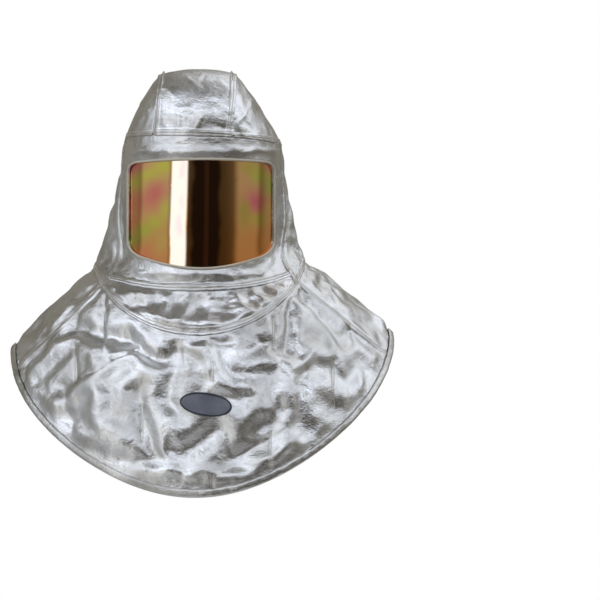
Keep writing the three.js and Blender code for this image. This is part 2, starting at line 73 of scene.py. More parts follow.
# Folds of the skirt: from an azimuth and share down to another, then shares of foldSize's depth and width
foldSize = dict(depth=8, width=24, radius=225)
skirtFolds = [
    (-61, 0.36, -32, 0.16, -0.8, 0.6), (-32, 0.16, -17, 0.2, -0.7, 0.55), (-50, 0.05, -47, 0.28, -0.7, 0.5),
    (-42, 0.45, -36, 0.75, 0.8, 1.3), (-24, 0.45, -17, 0.8, -0.6, 0.6), (-11, 0.15, -13, 0.42, -0.8, 0.7),
    (2, 0.1, 7, 0.32, 0.7, 0.6), (-6, 0.74, 6, 0.6, -0.8, 0.8), (12, 0.78, 27, 0.68, -1.0, 1.1),
    (47, 0.04, 37, 0.3, -1.0, 0.55), (34, 0.45, 27, 0.95, 0.7, 0.7), (56, 0.08, 62, 0.55, -0.7, 0.55),
    (-96, 0.2, -92, 0.9, 0.2, 0.9), (97, 0.2, 93, 0.9, 0.6, 0.9), (205, 0.1, 196, 0.95, -0.8, 0.9),
    (150, 0.1, 145, 0.95, 0.9, 0.8), (172, 0.3, 166, 0.7, -0.9, 0.8)]


def smoothstep(x, low, high):
    t = np.clip((x - low) / (high - low), 0, 1)
    return t * t * (3 - 2 * t)


def lerp(a, b, t):
    return a + (b - a) * t


def unit(v):
    return v / np.maximum(np.linalg.norm(v, axis=-1, keepdims=True), 1e-9)


# Value of a column of a table between its rows, smooth through them
def along(table, column, at):
    at = np.asarray(at, float)
    places, values = np.array(table["at"], float), np.array(table[column], float)
    last = len(places) - 1
    i = np.clip(np.searchsorted(places, at, side="left"), 1, last)
    before, after = np.maximum(i - 2, 0), np.minimum(i + 1, last)
    span = places[i] - places[i - 1]
    slopeA = (values[i] - values[before]) / (places[i] - places[before]) * span
    slopeB = (values[after] - values[i - 1]) / (places[after] - places[i - 1]) * span
    s = (at - places[i - 1]) / span
    rise = values[i] - values[i - 1]
    bend, turn = 3 * rise - 2 * slopeA - slopeB, slopeA + slopeB - 2 * rise
    return values[i - 1] + slopeA * s + bend * s**2 + turn * s**3


def ringBetween(upper, lower, sections, at):
    columns = dict(halfWidth="wide", faceWidth="face", front="front", back="back", frontZ="frontZ",
                   sideZ="sideZ", backZ="backZ", square="wide", frontDip="wide", backDip="wide",
                   shift="wide", skew="wide")
    shares = {column: along(sections, column, at) for column in set(columns.values())}
    return {size: lerp(upper[size], lower[size], shares[column]) for size, column in columns.items()}


def ringHeight(ring, azimuth):
    s, c = np.sin(np.radians(azimuth)), np.cos(np.radians(azimuth))
    endZ = np.where(c > 0, ring["frontZ"], ring["backZ"])
    dip = np.where(c > 0, ring["frontDip"], ring["backDip"])
    return ring["sideZ"] + (endZ - ring["sideZ"]) * np.abs(c) ** dip + ring["skew"] * s


def ringPoint(ring, azimuth):
    s, c = np.sin(np.radians(azimuth)), np.cos(np.radians(azimuth))
    depth = np.where(c > 0, ring["front"], ring["back"])
    offFace = smoothstep(np.degrees(np.arccos(np.clip(c, -1, 1))), faceTurn, 90)
    width = lerp(ring["faceWidth"], ring["halfWidth"], offFace)
    total = np.abs(s / width) ** ring["square"] + np.abs(c / depth) ** ring["square"]
    radius = total ** (-1 / ring["square"])
    return np.stack([ring["shift"] + radius * s, -radius * c, ringHeight(ring, azimuth)], -1)


# Distance of points from the stretch of line between two others
def awayFrom(here, a, b):
    share = np.clip(((here - a) @ (b - a)) / ((b - a) @ (b - a)), 0, 1)[..., None]
    return np.linalg.norm(here - (a + share * (b - a)), axis=-1)


def foldHeight(azimuth, drop):
    arc, fall = math.radians(foldSize["radius"]), collar["frontZ"] - hem["frontZ"]
    here = np.stack([azimuth * arc, drop * fall], -1)
    height = 0
    for start, startDrop, end, endDrop, depth, width in skirtFolds:
        a, b = np.array([start * arc, startDrop * fall]), np.array([end * arc, endDrop * fall])
        distance = awayFrom(here, a, b)
        height = height + depth * foldSize["depth"] * np.exp(-(distance / (width * foldSize["width"])) ** 2)
    return height


# Direction in which the cloth is thick
def outward(p):
    lift = np.maximum(0, p[..., 2] - brow["frontZ"])
    onSkirt = smoothstep(-p[..., 2], -collar["sideZ"] - 40, -collar["sideZ"] + 40)
    lift = lift + 0.4 * onSkirt * np.hypot(p[..., 0], p[..., 1])
    return unit(np.stack([p[..., 0], p[..., 1], lift], -1))


def headPoint(azimuth, at):
    return ringPoint(ringBetween(brow, collar, headSections, at), azimuth)


def skirtPoint(azimuth, at):
    p = ringPoint(ringBetween(collar, hem, skirtSections, at), azimuth)
    height = sum(foldHeight(azimuth + turn, at) for turn in (-360, 0, 360))
    held = smoothstep(at, 0, 0.12) * (1 - smoothstep(at, 0.85, 0.95))
    return p + outward(p) * (height * held)[..., None]


def stripPoint(across, at):
    reach, rise = along(stripProfile, "reach", at), along(stripProfile, "rise", at)
    endShift = np.where(reach < 0, crown["frontShift"], crown["backShift"])
    x = lerp(endShift, crown["topShift"], rise) + across * crown["stripHalfWidth"]
    depth = np.where(reach < 0, brow["front"], brow["back"])
    around = 1 - np.abs((x - brow["shift"]) / brow["halfWidth"]) ** brow["square"]
    y = depth * np.sign(reach) * np.maximum(around, 0) ** (1 / brow["square"])
    footZ = ringHeight(brow, np.degrees(np.arctan2(x - brow["shift"], -y)))
    z = lerp(footZ, crown["topZ"] - crown["stripDrop"] * across**2, rise)
    return np.stack([x, y * np.abs(reach), z], -1)


def crownSidePoint(side, at, down):
    def corner(end):
        p = stripPoint(np.asarray(side, float), np.array(end))
        return np.degrees(np.arctan2(p[..., 0] - brow["shift"], -p[..., 1]))
    foot = ringPoint(brow, lerp(corner(1e-4), corner(1 - 1e-4), at))
    p = lerp(stripPoint(side, at), foot, down[..., None])
    bulge = crown["bulge"] * 4 * down * (1 - down) * np.sin(np.pi * at)
    return p + outward(p) * bulge[..., None]


def seamAzimuth(seam, at):
    top, low, bow = seam
    return lerp(top, low, at) + bow * np.sin(np.pi * at)


def mirrored(seam, turn=0):
    return (turn - seam[0], turn - seam[1], -seam[2])


# Share of the way down from brow to collar where the face panel ends
def jawShare(share):
    at = np.full_like(share, jaw["front"])
    for _ in range(4):
        azimuth = lerp(seamAzimuth(mirrored(faceSeam), at), seamAzimuth(faceSeam, at), share)
        at = lerp(jaw["front"], jaw["side"], np.minimum(1, np.abs(azimuth) / faceSeam[1]) ** 2)
    return at


def between(pointAt, left, right):
    return lambda u, v: pointAt(lerp(seamAzimuth(left, v), seamAzimuth(right, v), u), v)


headFront = between(headPoint, mirrored(faceSeam), faceSeam)


def facePoint(u, v):
    return headFront(u, v * jawShare(u))


def chinPoint(u, v):
    return headFront(u, lerp(jawShare(u), 1, v))


gradients = unit(np.random.default_rng(7).normal(size=(256, 3)))


# Whole numbers scattered by place, to pick from a table with
def scatter(x, y, z, seed):
    return x * 73856093 ^ y * 19349663 ^ z * 83492791 ^ (seed * 7919)


def noise(p, size, seed=0):
    p = p / size + seed * 17.3
    cell = np.floor(p).astype(np.int64)
    f = p - cell
    fade = f * f * f * (f * (f * 6 - 15) + 10)
    total = 0
    for dx in (0, 1):
        for dy in (0, 1):
            for dz in (0, 1):
                x, y, z = cell[..., 0] + dx, cell[..., 1] + dy, cell[..., 2] + dz
                pick = ((scatter(x, y, z, seed) & 255) * 167 + (x ^ (y * 31) ^ (z * 57))) & 255
                away = f - np.array([dx, dy, dz])
                dot = (gradients[pick] * away).sum(-1)
                wx = fade[..., 0] if dx else 1 - fade[..., 0]
                wy = fade[..., 1] if dy else 1 - fade[..., 1]
                wz = fade[..., 2] if dz else 1 - fade[..., 2]
                total = total + dot * wx * wy * wz
    return total


# Flat facets that meet in creases: values at the corners of a lattice, with straight lines between them
corners = np.random.default_rng(11).uniform(-1, 1, 1024)


def facets(p, size, seed):
    p = p / size + seed * 9.7
    cell = np.floor(p).astype(np.int64)
    f = p - cell
    order = np.argsort(-f, axis=-1)
    ordered = np.take_along_axis(f, order, -1)
    falls = [ordered[..., n] - ordered[..., n + 1] for n in (0, 1)]
    weights = [1 - ordered[..., 0], *falls, ordered[..., 2]]
    total, corner = 0, cell.copy()
    for n, weight in enumerate(weights):
        if n:
            axis = order[..., n - 1:n]
            np.put_along_axis(corner, axis, np.take_along_axis(corner, axis, -1) + 1, -1)
        x, y, z = corner[..., 0], corner[..., 1], corner[..., 2]
        pick = scatter(x, y, z, seed) >> 3
        total = total + weight * corners[(pick ^ (x * 31 + y * 17 + z * 7)) & 1023]
    return total


# Height of creased film: facets in sizes from a hand's breadth down to a fingertip, with their depths
crumpleSizes = [(62, 5.6, 1), (33, 3.7, 2), (17, 2.0, 3), (9, 0.8, 4)]


def crumple(p, amount, stretch=(1, 1, 1)):
    p = p / np.array(stretch)
    warp = np.stack([noise(p, 70, 11), noise(p, 70, 12), noise(p, 70, 13)], -1) * 30
    height = 0
    for size, depth, seed in crumpleSizes:
        height = height + depth * facets(p + warp, size, seed)
    return height * amount


# Creases seen from the front, in steps across and down from the picture's corner: start, end, depth in
# millimetres (a valley is negative), width in millimetres, and sharpness from 0 for a soft one to 1
picture = dict(away=4000, step=1.5, eyeZ=-320, middleAcross=201, middleDown=286)


def seenFromFront(p):
    grow = picture["away"] / (picture["away"] + p[..., 1])
    across = picture["middleAcross"] + p[..., 0] * grow / picture["step"]
    down = picture["middleDown"] - (p[..., 2] - picture["eyeZ"]) * grow / picture["step"]
    return np.stack([across, down], -1)


def seenHeight(p, creases, wobble=3.5):
    here = seenFromFront(p) + np.stack([noise(p, 22, 61), noise(p, 22, 62)], -1) * wobble
    height = 0
    for x0, y0, x1, y1, depth, width, sharp in creases:
        away = awayFrom(here, np.array([x0, y0], float), np.array([x1, y1], float))
        distance = away * picture["step"] / width
        soft, crisp = np.exp(-(distance**2)), np.exp(-1.4 * distance)
        height = height + depth * lerp(soft, crisp, sharp)
    return height * smoothstep(-p[..., 1], 0, 40)


# Shares from 0 to 1 for a length in millimetres, closer together near the ends
def spacing(length, step=2.6, edgeStep=1.0, edge=11):
    if length < 3 * edge:
        return np.linspace(0, 1, int(length / edgeStep) + 2)
    ends = np.arange(0, edge, edgeStep)
    middle = np.linspace(edge, length - edge, int((length - 2 * edge) / step) + 2)
    return np.concatenate([ends, middle, (length - ends)[::-1]]) / length


def steps(a):
    return np.linalg.norm(np.diff(a, axis=0), axis=-1)


def distancesTo(p):
    across = np.concatenate([np.zeros((1, p.shape[1])), np.cumsum(steps(p), 0)])
    down = np.concatenate([np.zeros((1, p.shape[0])), np.cumsum(steps(p.transpose(1, 0, 2)), 0)]).T
    return dict(left=across, right=across[-1] - across, top=down, bottom=down[:, -1:] - down)


reachOf = dict(over=[0.8, 1.6, 2.2], under=[2.0, 4.0, 6.0, 8.0], free=[])


# The cloth carried on past its seams, above or beneath its neighbour
def carriedOn(p, d, edges, short=1.0):
    for edge, axis, atEnd in (("left", 0, 0), ("right", 0, 1), ("top", 1, 0), ("bottom", 1, 1)):
        reaches = [r * short for r in reachOf[edges.get(edge, "free")]]
        if not reaches:
            continue
        q = p if axis == 0 else p.transpose(1, 0, 2)
        last, inner = (q[-1], q[-3]) if atEnd else (q[0], q[2])
        way = unit(last - inner)
        more = np.stack([last + way * r for r in reaches])
        grown = {}
        for key, value in d.items():
            rows = value if axis == 0 else value.T
            end = rows[-1] if atEnd else rows[0]
            extra = np.stack([end - r if key == edge else end + r if key == opposite[edge] else end
                              for r in reaches])
            rows = np.concatenate([rows, extra] if atEnd else [extra[::-1], rows])
            grown[key] = rows if axis == 0 else rows.T
        q = np.concatenate([q, more] if atEnd else [more[::-1], q])
        p, d = (q if axis == 0 else q.transpose(1, 0, 2)), grown
    return p, d


opposite = dict(left="right", right="left", top="bottom", bottom="top")


def normalsOf(p, closed=False):
    if closed:
        du = np.roll(p, -1, 0) - np.roll(p, 1, 0)
    else:
        du = np.gradient(p, axis=0)
    dv = np.gradient(p, axis=1)
    n = np.cross(du, dv)
    n = n * np.sign((n * outward(p)).sum(-1, keepdims=True))
    return unit(n)


# Shape of the cloth near a seam: the upper edge stands on the lower one, and the thread pulls both down
lap = dict(rise=1.5, riseEnd=(6.8, 9.5), crownRise=0.55, tuck=0.9, tuckEnd=(-2.2, -0.2), sink=1.1, sinkEnd=3,
           dive=0.7, pinch=1.1, pinchWidth=9, pucker=1.5, puckerWidth=12, puckerSize=9, threadIn=(2.2, 6.4),
           threadLift=0.25, groove=0.35, grooveWidth=0.8)


def lineAt(p, edge):
    if edge in ("left", "right"):
        return p[None, 0 if edge == "left" else -1]
    return p[:, None, 0 if edge == "top" else -1]


# The ripples follow the seam's own line, or the whole grid where its rows don't run along the seam
def seamHeight(p, d, edges, seed, stand=1.0, onLine=True):
    height = np.zeros(p.shape[:2])
    for n, (edge, kind) in enumerate(edges.items()):
        if kind == "free":
            continue
        far = d[edge]
        if kind == "over":
            height += stand * lap["rise"] * (1 - smoothstep(far, *lap["riseEnd"]))
            height -= lap["tuck"] * (1 - smoothstep(far, *lap["tuckEnd"]))
            for row in lap["threadIn"]:
                height -= lap["groove"] * np.exp(-((far - row) / lap["grooveWidth"]) ** 2)
        else:
            height -= lap["sink"] * (1 - smoothstep(far, 0, lap["sinkEnd"]))
            height -= lap["dive"] * (1 - smoothstep(far, -lap["sinkEnd"], 0))
        height -= lap["pinch"] * np.exp(-np.abs(far) / lap["pinchWidth"])
        place = lineAt(p, edge) if onLine else p
        ripple = noise(place, lap["puckerSize"], seed + n)
        ripple = ripple + 0.6 * noise(place, 2.3 * lap["puckerSize"], seed + n)
        height += lap["pucker"] * ripple * np.exp(-np.abs(far) / lap["puckerWidth"])
    return height


film = dict(fromSeam=(1, 16), fromHem=(8, 34), inner=0.18, seam=0.12, quickSeam=0.3, atSeam=0.3)


# How far the film may lift off its own plane there: least at a seam, nothing at the hem
def freedom(d, edges):
    inside, low = 1.0, 1.0
    for edge, kind in edges.items():
        if kind == "free":
            low = smoothstep(d[edge], *film["fromHem"])
        else:
            inside = inside * smoothstep(d[edge], *film["fromSeam"])
    return inside, low


# Creases of a panel, which pass into those that all panels share at their seams.
def creased(p, d, edges, amount, stretch, part):
    inside, low = freedom(d, edges)
    if crushTree:
        atSeam, inner = crumple(p, film["seam"]), crushedAt(p, part) + crumple(p, film["inner"])
    else:
        atSeam, inner = crumple(p, film["quickSeam"]), crumple(p, amount, stretch)
    return lerp(atSeam, inner, inside) * low, (film["atSeam"] + 0.7 * inside) * low


# Waves of the hem, which the cloth, its lining and the tape share: size and height
hemWaves = dict(small=(12, 1.2), large=(38, 2.2))


def hemWave(p):
    (small, low), (large, high) = hemWaves["small"], hemWaves["large"]
    return noise(p, small, 400) * low + noise(p, large, 401) * high


def quadsOf(p, closed):
    index = np.arange(p.shape[0] * p.shape[1]).reshape(p.shape[:2])
    following = np.roll(index, -1, 0) if closed else index[1:]
    first = index if closed else index[:-1]
    return np.stack([first[:, :-1], following[:, :-1], following[:, 1:], first[:, 1:]], -1).reshape(-1, 4)


def placed(name, data):
    made = bpy.data.objects.new(name, data)
    bpy.context.collection.objects.link(made)
    return made


# A grid of points in millimetres as a piece of cloth, turned to face outward unless told how
def gridMesh(name, p, material, closed=False, thick=None, flip=None):
    quads, flat = quadsOf(p, closed), p.reshape(-1, 3)
    middle = flat[quads].mean(1)
    n = np.cross(flat[quads[:, 1]] - flat[quads[:, 0]], flat[quads[:, 3]] - flat[quads[:, 0]])
    turned = ((n * outward(middle)).sum(-1) < 0).sum() > len(quads) / 2 if flip is None else flip
    if turned:
        quads = quads[:, ::-1]
    mesh = bpy.data.meshes.new(name)
    mesh.from_pydata((flat * 0.001).tolist(), [], quads.tolist())
    d = distancesTo(p)
    uv = np.stack([d["left"], d["top"]], -1).reshape(-1, 2)
    points = np.array([loop.vertex_index for loop in mesh.loops])
    mesh.uv_layers.new(name="cloth").data.foreach_set("uv", (uv[points] * 0.001).ravel())
    mesh.polygons.foreach_set("use_smooth", [True] * len(mesh.polygons))
    mesh.materials.append(material)
    piece = placed(name.replace(" ", "-"), mesh)
    if thick:
        solid = piece.modifiers.new("thickness", "SOLIDIFY")
        solid.thickness, solid.offset, solid.use_even_offset = thick * 0.001, -1, False
    return piece


def areaOf(p, closed=False):
    q = np.concatenate([p, p[:1]]) if closed else p
    one = np.cross(q[1:, :-1] - q[:-1, :-1], q[:-1, 1:] - q[:-1, :-1])
    two = np.cross(q[1:, 1:] - q[:-1, 1:], q[1:, 1:] - q[1:, :-1])
    return (np.linalg.norm(one, axis=-1).sum() + np.linalg.norm(two, axis=-1).sum()) / 2


# Flat cut of a grid of cloth: its longest row and column, and its area
def cutOf(p, closed=False):
    d = distancesTo(np.concatenate([p, p[:1]]) if closed else p)
    size = (d["left"].max(), d["top"].max())
    return (size[0] * 0.001, size[1] * 0.001), min(areaOf(p, closed), size[0] * size[1]) * 1e-6


# The shell is let go as cloth a little too large for its place, held at its seams, so that it buckles
crush = dict(cell=6.0, spare=0.03, frames=26, scale=10, tension=15, bending=2.4, shear=5, quality=6,
             mass=0.3, damping=1.0, goal=0.3, cap=9.0, start=1.0, reach=11, neighbours=5)
# Shares of the lift in each part; then the size of the skirt and head in millimetres, of the rest in points
crushShares = dict(face=0.35, chin=1.5, sides=0.75, crownSide=0.4, strip=0.15)
crushGrids = dict(skirt=(1450, 215), head=(900, 250), crownSide=(56, 22), strip=(20, 66))


def buckled(p, held, closed=True):
    n, held = normalsOf(p, closed), np.clip(held, 0, 1)
    begun = p + n * (crush["start"] * (facets(p, 70, 31) + 0.5 * facets(p, 36, 32)) * (1 - held))[..., None]
    mesh = bpy.data.meshes.new("crushed")
    points = begun.reshape(-1, 3) * 0.001 * crush["scale"]
    mesh.from_pydata(points.tolist(), [], quadsOf(p, closed).tolist())
    piece = placed("crushed", mesh)
    group = piece.vertex_groups.new(name="held")
    weights = np.maximum(held, crush["goal"]).ravel()
    for i, weight in enumerate(weights):
        group.add([i], float(weight), "REPLACE")
    modifier = piece.modifiers.new("cloth", "CLOTH")
    how = modifier.settings
    how.quality, how.mass, how.air_damping = crush["quality"], crush["mass"], crush["damping"]
    how.tension_stiffness = how.compression_stiffness = crush["tension"]
    how.shear_stiffness, how.bending_stiffness = crush["shear"], crush["bending"]
    how.vertex_group_mass, how.pin_stiffness = "held", 1.0
    how.shrink_min, how.effector_weights.gravity = -crush["spare"], 0
    modifier.collision_settings.use_collision = False
    modifier.point_cache.frame_start, modifier.point_cache.frame_end = 1, crush["frames"]
    for step in range(1, crush["frames"] + 1):
        bpy.context.scene.frame_set(step)
    shaped = piece.evaluated_get(bpy.context.evaluated_depsgraph_get())
    moved = np.zeros(p.size)
    shaped.data.vertices.foreach_get("co", moved)
    bpy.context.scene.frame_set(1)
    bpy.data.objects.remove(piece)
    moved = moved.reshape(p.shape) * 1000 / crush["scale"]
    lift = ((moved - p) * n).sum(-1)
    return np.clip(lift, -crush["cap"], crush["cap"])


def ringGrid(pointAt, length, height):
    across = np.linspace(0, 1, int(length / crush["cell"]), endpoint=False)
    down = np.linspace(0, 1, int(height / crush["cell"]))
    u, v = np.meshgrid(across, down, indexing="ij")
    return pointAt(360 * u, v), 360 * u, v


# 1 on the seams that divide a ring of cloth, where the thread holds it, on both sides of the hood
def heldBySeams(azimuth, v, seams, p):
    radius = np.hypot(p[..., 0], p[..., 1])
    held = 0.0
    for seam in (*seams, *map(mirrored, seams)):
        for turn in (0, 360):
            away = np.radians(np.abs(azimuth - turn - seamAzimuth(seam, v))) * radius
            held = np.maximum(held, 1 - smoothstep(away, 2, 9))
    return held


# 1 at the ends of a share, falling to 0 over a little of it
def atEnds(share, first, last):
    return (1 - smoothstep(share, *first)) + smoothstep(share, *last)


def crushSkirt():
    p, azimuth, v = ringGrid(skirtPoint, *crushGrids["skirt"])
    held = np.maximum(heldBySeams(azimuth, v, (bibSeam, backSeam), p), atEnds(v, (0.0, 0.04), (0.93, 0.97)))
    return "skirt", p, buckled(p, held)


# The stiff face panel hardly buckles, and the chin below it the most
def crushHead():
    p, azimuth, v = ringGrid(headPoint, *crushGrids["head"])
    turn = np.where(azimuth > 180, azimuth - 360, azimuth)
    inFace = 1 - smoothstep(np.abs(turn), seamAzimuth(faceSeam, v) - 4, seamAzimuth(faceSeam, v))
    across = np.clip(0.5 + turn / (2 * seamAzimuth(faceSeam, v)), 0, 1)
    jawLine = jawShare(across)
    held = heldBySeams(azimuth, v, (faceSeam, napeSeam), p)
    held = np.maximum(held, inFace * (1 - smoothstep(np.abs(v - jawLine) * 280, 2, 9)))
    held = np.maximum(held, 0.62 * inFace * (v < jawLine))
    held = np.maximum(held, atEnds(v, (0.0, 0.03), (0.97, 1)))
    share = np.where(v < jawLine, crushShares["face"], crushShares["chin"])
    return "head", p, buckled(p, held) * np.where(inFace > 0.5, share, crushShares["sides"])


def crushCrownSide(side):
    across, down = crushGrids["crownSide"]
    u, v = np.meshgrid(np.linspace(0.012, 0.988, across), np.linspace(0, 1, down), indexing="ij")
    p = crownSidePoint(side, u, v)
    held = atEnds(v, (0.02, 0.08), (0.94, 0.99)) + atEnds(u, (0.02, 0.1), (0.9, 0.98))
    return "crown", p, crushShares["crownSide"] * buckled(p, held, closed=False)


def crushStrip():
    across, down = crushGrids["strip"]
    u, v = np.meshgrid(np.linspace(-1, 1, across), np.linspace(0.004, 0.996, down), indexing="ij")
    p = stripPoint(u, v)
    held = smoothstep(np.abs(u), 0.88, 0.99) + atEnds(v, (0.01, 0.05), (0.95, 0.99))
    return "crown", p, crushShares["strip"] * buckled(p, held, closed=False)


# The parts are kept apart in one tree of places by a height that each is raised to
crushLevels = dict(skirt=0.0, head=2000.0, crown=4000.0)


def crushShell():
    places, lifts = [], []
    for part, p, lift in (crushSkirt(), crushHead(), crushCrownSide(-1), crushCrownSide(1), crushStrip()):
        print(part, "crushed", float(np.abs(lift).mean()), float(np.abs(lift).max()))
        places.append(p.reshape(-1, 3) + np.array((0, 0, crushLevels[part])))
        lifts.append(lift.ravel())
    places, lifts = np.concatenate(places), np.concatenate(lifts)
    tree = KDTree(len(places))
    for i, place in enumerate(places):
        tree.insert(place, i)
    tree.balance()
    return tree, lifts


def crushedAt(p, part):
    flat = p.reshape(-1, 3) + np.array((0, 0, crushLevels[part]))
    out = np.zeros(len(flat))
    for i, place in enumerate(flat):
        near = crushTree.find_n(place, crush["neighbours"])
        share = np.array([max(0.0, 1 - distance / crush["reach"]) ** 2 for _, _, distance in near])
        total = share.sum()
        if total > 0:
            out[i] = (share * crushLifts[[k for _, k, _ in near]]).sum() / total
    return out.reshape(p.shape[:-1])


crushTree, crushLifts = crushShell()

# By name: the piece, its displaced grid, normals and distances to its edges
panels = {}


# Flat size in millimetres sets how fine the grid is, and edges say how each side is sewn
def panel(name, surface, size, edges, seed, creases=(), amount=1.0, stretch=(1, 1, 1), extra=None):
    part = "crown" if "crown" in name else "skirt" if edges["bottom"] == "free" else "head"
    u, v = np.meshgrid(spacing(size[0]), spacing(size[1]), indexing="ij")
    p = surface(u, v)
    base, d = carriedOn(p, distancesTo(p), edges, 0.6 if part == "skirt" else 1)
    height = seamHeight(base, d, edges, seed, lap["crownRise"] if part == "crown" else 1.0)
    lifted, free = creased(base, d, edges, amount, stretch, part)
    height = height + lifted + seenHeight(base, creases) * np.minimum(1, 1.4 * free)
    if extra:
        height = height + extra(base, d)
    made = base + normalsOf(base) * height[..., None]
    piece = gridMesh(name, made, aluminized, thick=1.2)
    panels[name] = dict(piece=piece, p=made, d=d, n=normalsOf(made))


# A value in a node tree, which can be reckoned with like a number
class Wire:
    def __init__(self, tree, socket=None):
        self.tree, self.socket = tree, socket

    def node(self, kind, out=0, settings=None, **values):
        made = self.tree.nodes.new(kind)
        for key, value in (settings or {}).items():
            setattr(made, key, value)
        for key, value in values.items():
            numbered = key[0] == "i" and key[1:].isdigit()
            self.feed(made.inputs[int(key[1:]) if numbered else key], value)
        return Wire(self.tree, made.outputs[out])

    def feed(self, socket, value):
        if isinstance(value, Wire):
            self.tree.links.new(value.socket, socket)
        else:
            socket.default_value = value

    def math(self, operation, *others):
        values = {f"i{n + 1}": other for n, other in enumerate(others)}
        return self.node("ShaderNodeMath", settings=dict(operation=operation), i0=self, **values)

    def back(self, operation, other):
        return self.node("ShaderNodeMath", settings=dict(operation=operation), i0=other, i1=self)

    def __neg__(self):
        return self.math("MULTIPLY", -1.0)

    # From 0 at low to 1 at high
    def ramp(self, low, high):
        if low > high:
            return 1.0 - self.ramp(high, low)
        return self.node("ShaderNodeMapRange", settings=dict(interpolation_type="SMOOTHSTEP"),
                         Value=self, i1=low, i2=high)

    # 1 between low and high, 0 outside, with soft edges
    def band(self, low, high, edge):
        return self.ramp(low - edge, low + edge) * self.ramp(high + edge, high - edge)

    def mix(self, a, b):
        made = self.tree.nodes.new("ShaderNodeMix")
        made.data_type = "RGBA"
        self.feed(made.inputs[0], self)
        for socket, value in ((made.inputs[6], a), (made.inputs[7], b)):
            self.feed(socket, value if isinstance(value, Wire) else (*value, 1.0))
        return Wire(self.tree, made.outputs[2])

    def axes(self):
        parts = self.tree.nodes.new("ShaderNodeSeparateXYZ")
        self.tree.links.new(self.socket, parts.inputs[0])
        return [Wire(self.tree, parts.outputs[n]) for n in range(3)]


# Each operator with a value on its right, and with one on its left
for operator, operation in (("add", "ADD"), ("sub", "SUBTRACT"), ("mul", "MULTIPLY"), ("truediv", "DIVIDE"),
                            ("pow", "POWER")):
    setattr(Wire, f"__{operator}__", lambda self, other, how=operation: self.math(how, other))
    setattr(Wire, f"__r{operator}__", lambda self, other, how=operation: self.back(how, other))


def newMaterial(name, **fixed):
    material = bpy.data.materials.new(name)
    material.use_nodes = True
    tree = material.node_tree
    shader = tree.nodes["Principled BSDF"]
    for key, value in fixed.items():
        shader.inputs[key.replace("_", " ")].default_value = value
    start = Wire(tree)
    place = start.node("ShaderNodeTexCoord", out="Object")
    return material, shader, start, place


# Feeds inputs of a material, with an underscore for the space in their names
def paint(shader, **values):
    for key, value in values.items():
        value.feed(shader.inputs[key.replace("_", " ")], value)


def spots(place, scale, detail=2.0):
    return place.node("ShaderNodeTexNoise", Vector=place, Scale=scale, Detail=detail, Roughness=0.5)


def bump(height, distance, strength=1.0, under=None):
    values = dict(Height=height, Distance=distance, Strength=strength)
    if under is not None:
        values["Normal"] = under
    return height.node("ShaderNodeBump", **values)


# Over-and-under threads along the cloth's own measure, pitch in metres
def weave(start, pitch):
    u, v, _ = start.node("ShaderNodeUVMap").axes()
    across, down = (u * (math.pi / pitch)), (v * (math.pi / pitch))
    one, two = across.math("SINE").math("ABSOLUTE"), down.math("SINE").math("ABSOLUTE")
    parity = ((u / pitch).math("FLOOR") + (v / pitch).math("FLOOR")).math("MODULO", 2.0)
    return parity * one + (1.0 - parity) * two


# Colours, then the depths of the bumps in metres
silver = dict(bright=(0.84, 0.845, 0.85), dull=(0.62, 0.615, 0.59), rubbed=(0.5, 0.48, 0.44),
              crinkle=0.00045, fine=0.00032, sharp=0.0011, weave=0.00006)


def aluminizedCloth(name, bright, dull):
    material, shader, start, place = newMaterial(name, Metallic=1.0)
    wear = spots(place, 14.0, 3.0).ramp(0.35, 0.7)
    rubbed = spots(place, 60.0, 4.0).ramp(0.52, 0.68)
    color = wear.mix(bright, dull)
    longer = place.node("ShaderNodeVectorMath", settings=dict(operation="MULTIPLY"),
                        i0=place, i1=(1.0, 1.0, 1.5))
    sharp = (spots(longer, 34.0, 1.0) - 0.5).math("ABSOLUTE").math("MINIMUM", 0.07)
    creased = (spots(place, 120.0, 2.0) - 0.5).math("ABSOLUTE") * 2.0
    threads = bump(weave(start, 0.0009), silver["weave"])
    grain = bump(spots(place, 430.0, 1.0), silver["fine"], under=threads)
    folded = bump(sharp, silver["sharp"], under=grain)
    paint(shader, Base_Color=(rubbed * 0.25).mix(color, silver["rubbed"]),
          Roughness=0.12 + 0.09 * wear + 0.08 * spots(place, 160.0, 2.0),
          Normal=bump(creased, silver["crinkle"], under=folded))
    return material


def threadCord(name, color):
    material, shader, _, place = newMaterial(name, Metallic=0.0, Roughness=0.75)
    twist = spots(place, 1500.0, 1.0)
    paint(shader, Base_Color=twist.mix(color, tuple(c * 0.6 for c in color)), Normal=bump(twist, 0.0002))
    return material


olive = dict(light=(0.60, 0.575, 0.27), dark=(0.42, 0.395, 0.155))


def liningCloth(name):
    material, shader, start, place = newMaterial(name, Metallic=0.0)
    threads = weave(start, 0.0014)
    shade = spots(place, 9.0, 3.0).ramp(0.3, 0.75)
    color = shade.mix(olive["light"], olive["dark"])
    gaps = tuple(c * 0.5 for c in olive["dark"])
    fuzz = bump(spots(place, 700.0, 2.0), 0.0002)
    paint(shader, Base_Color=(threads * 0.45).mix(gaps, color), Roughness=0.85 + 0.1 * shade,
          Normal=bump(threads, 0.00035, under=fuzz))
    return material


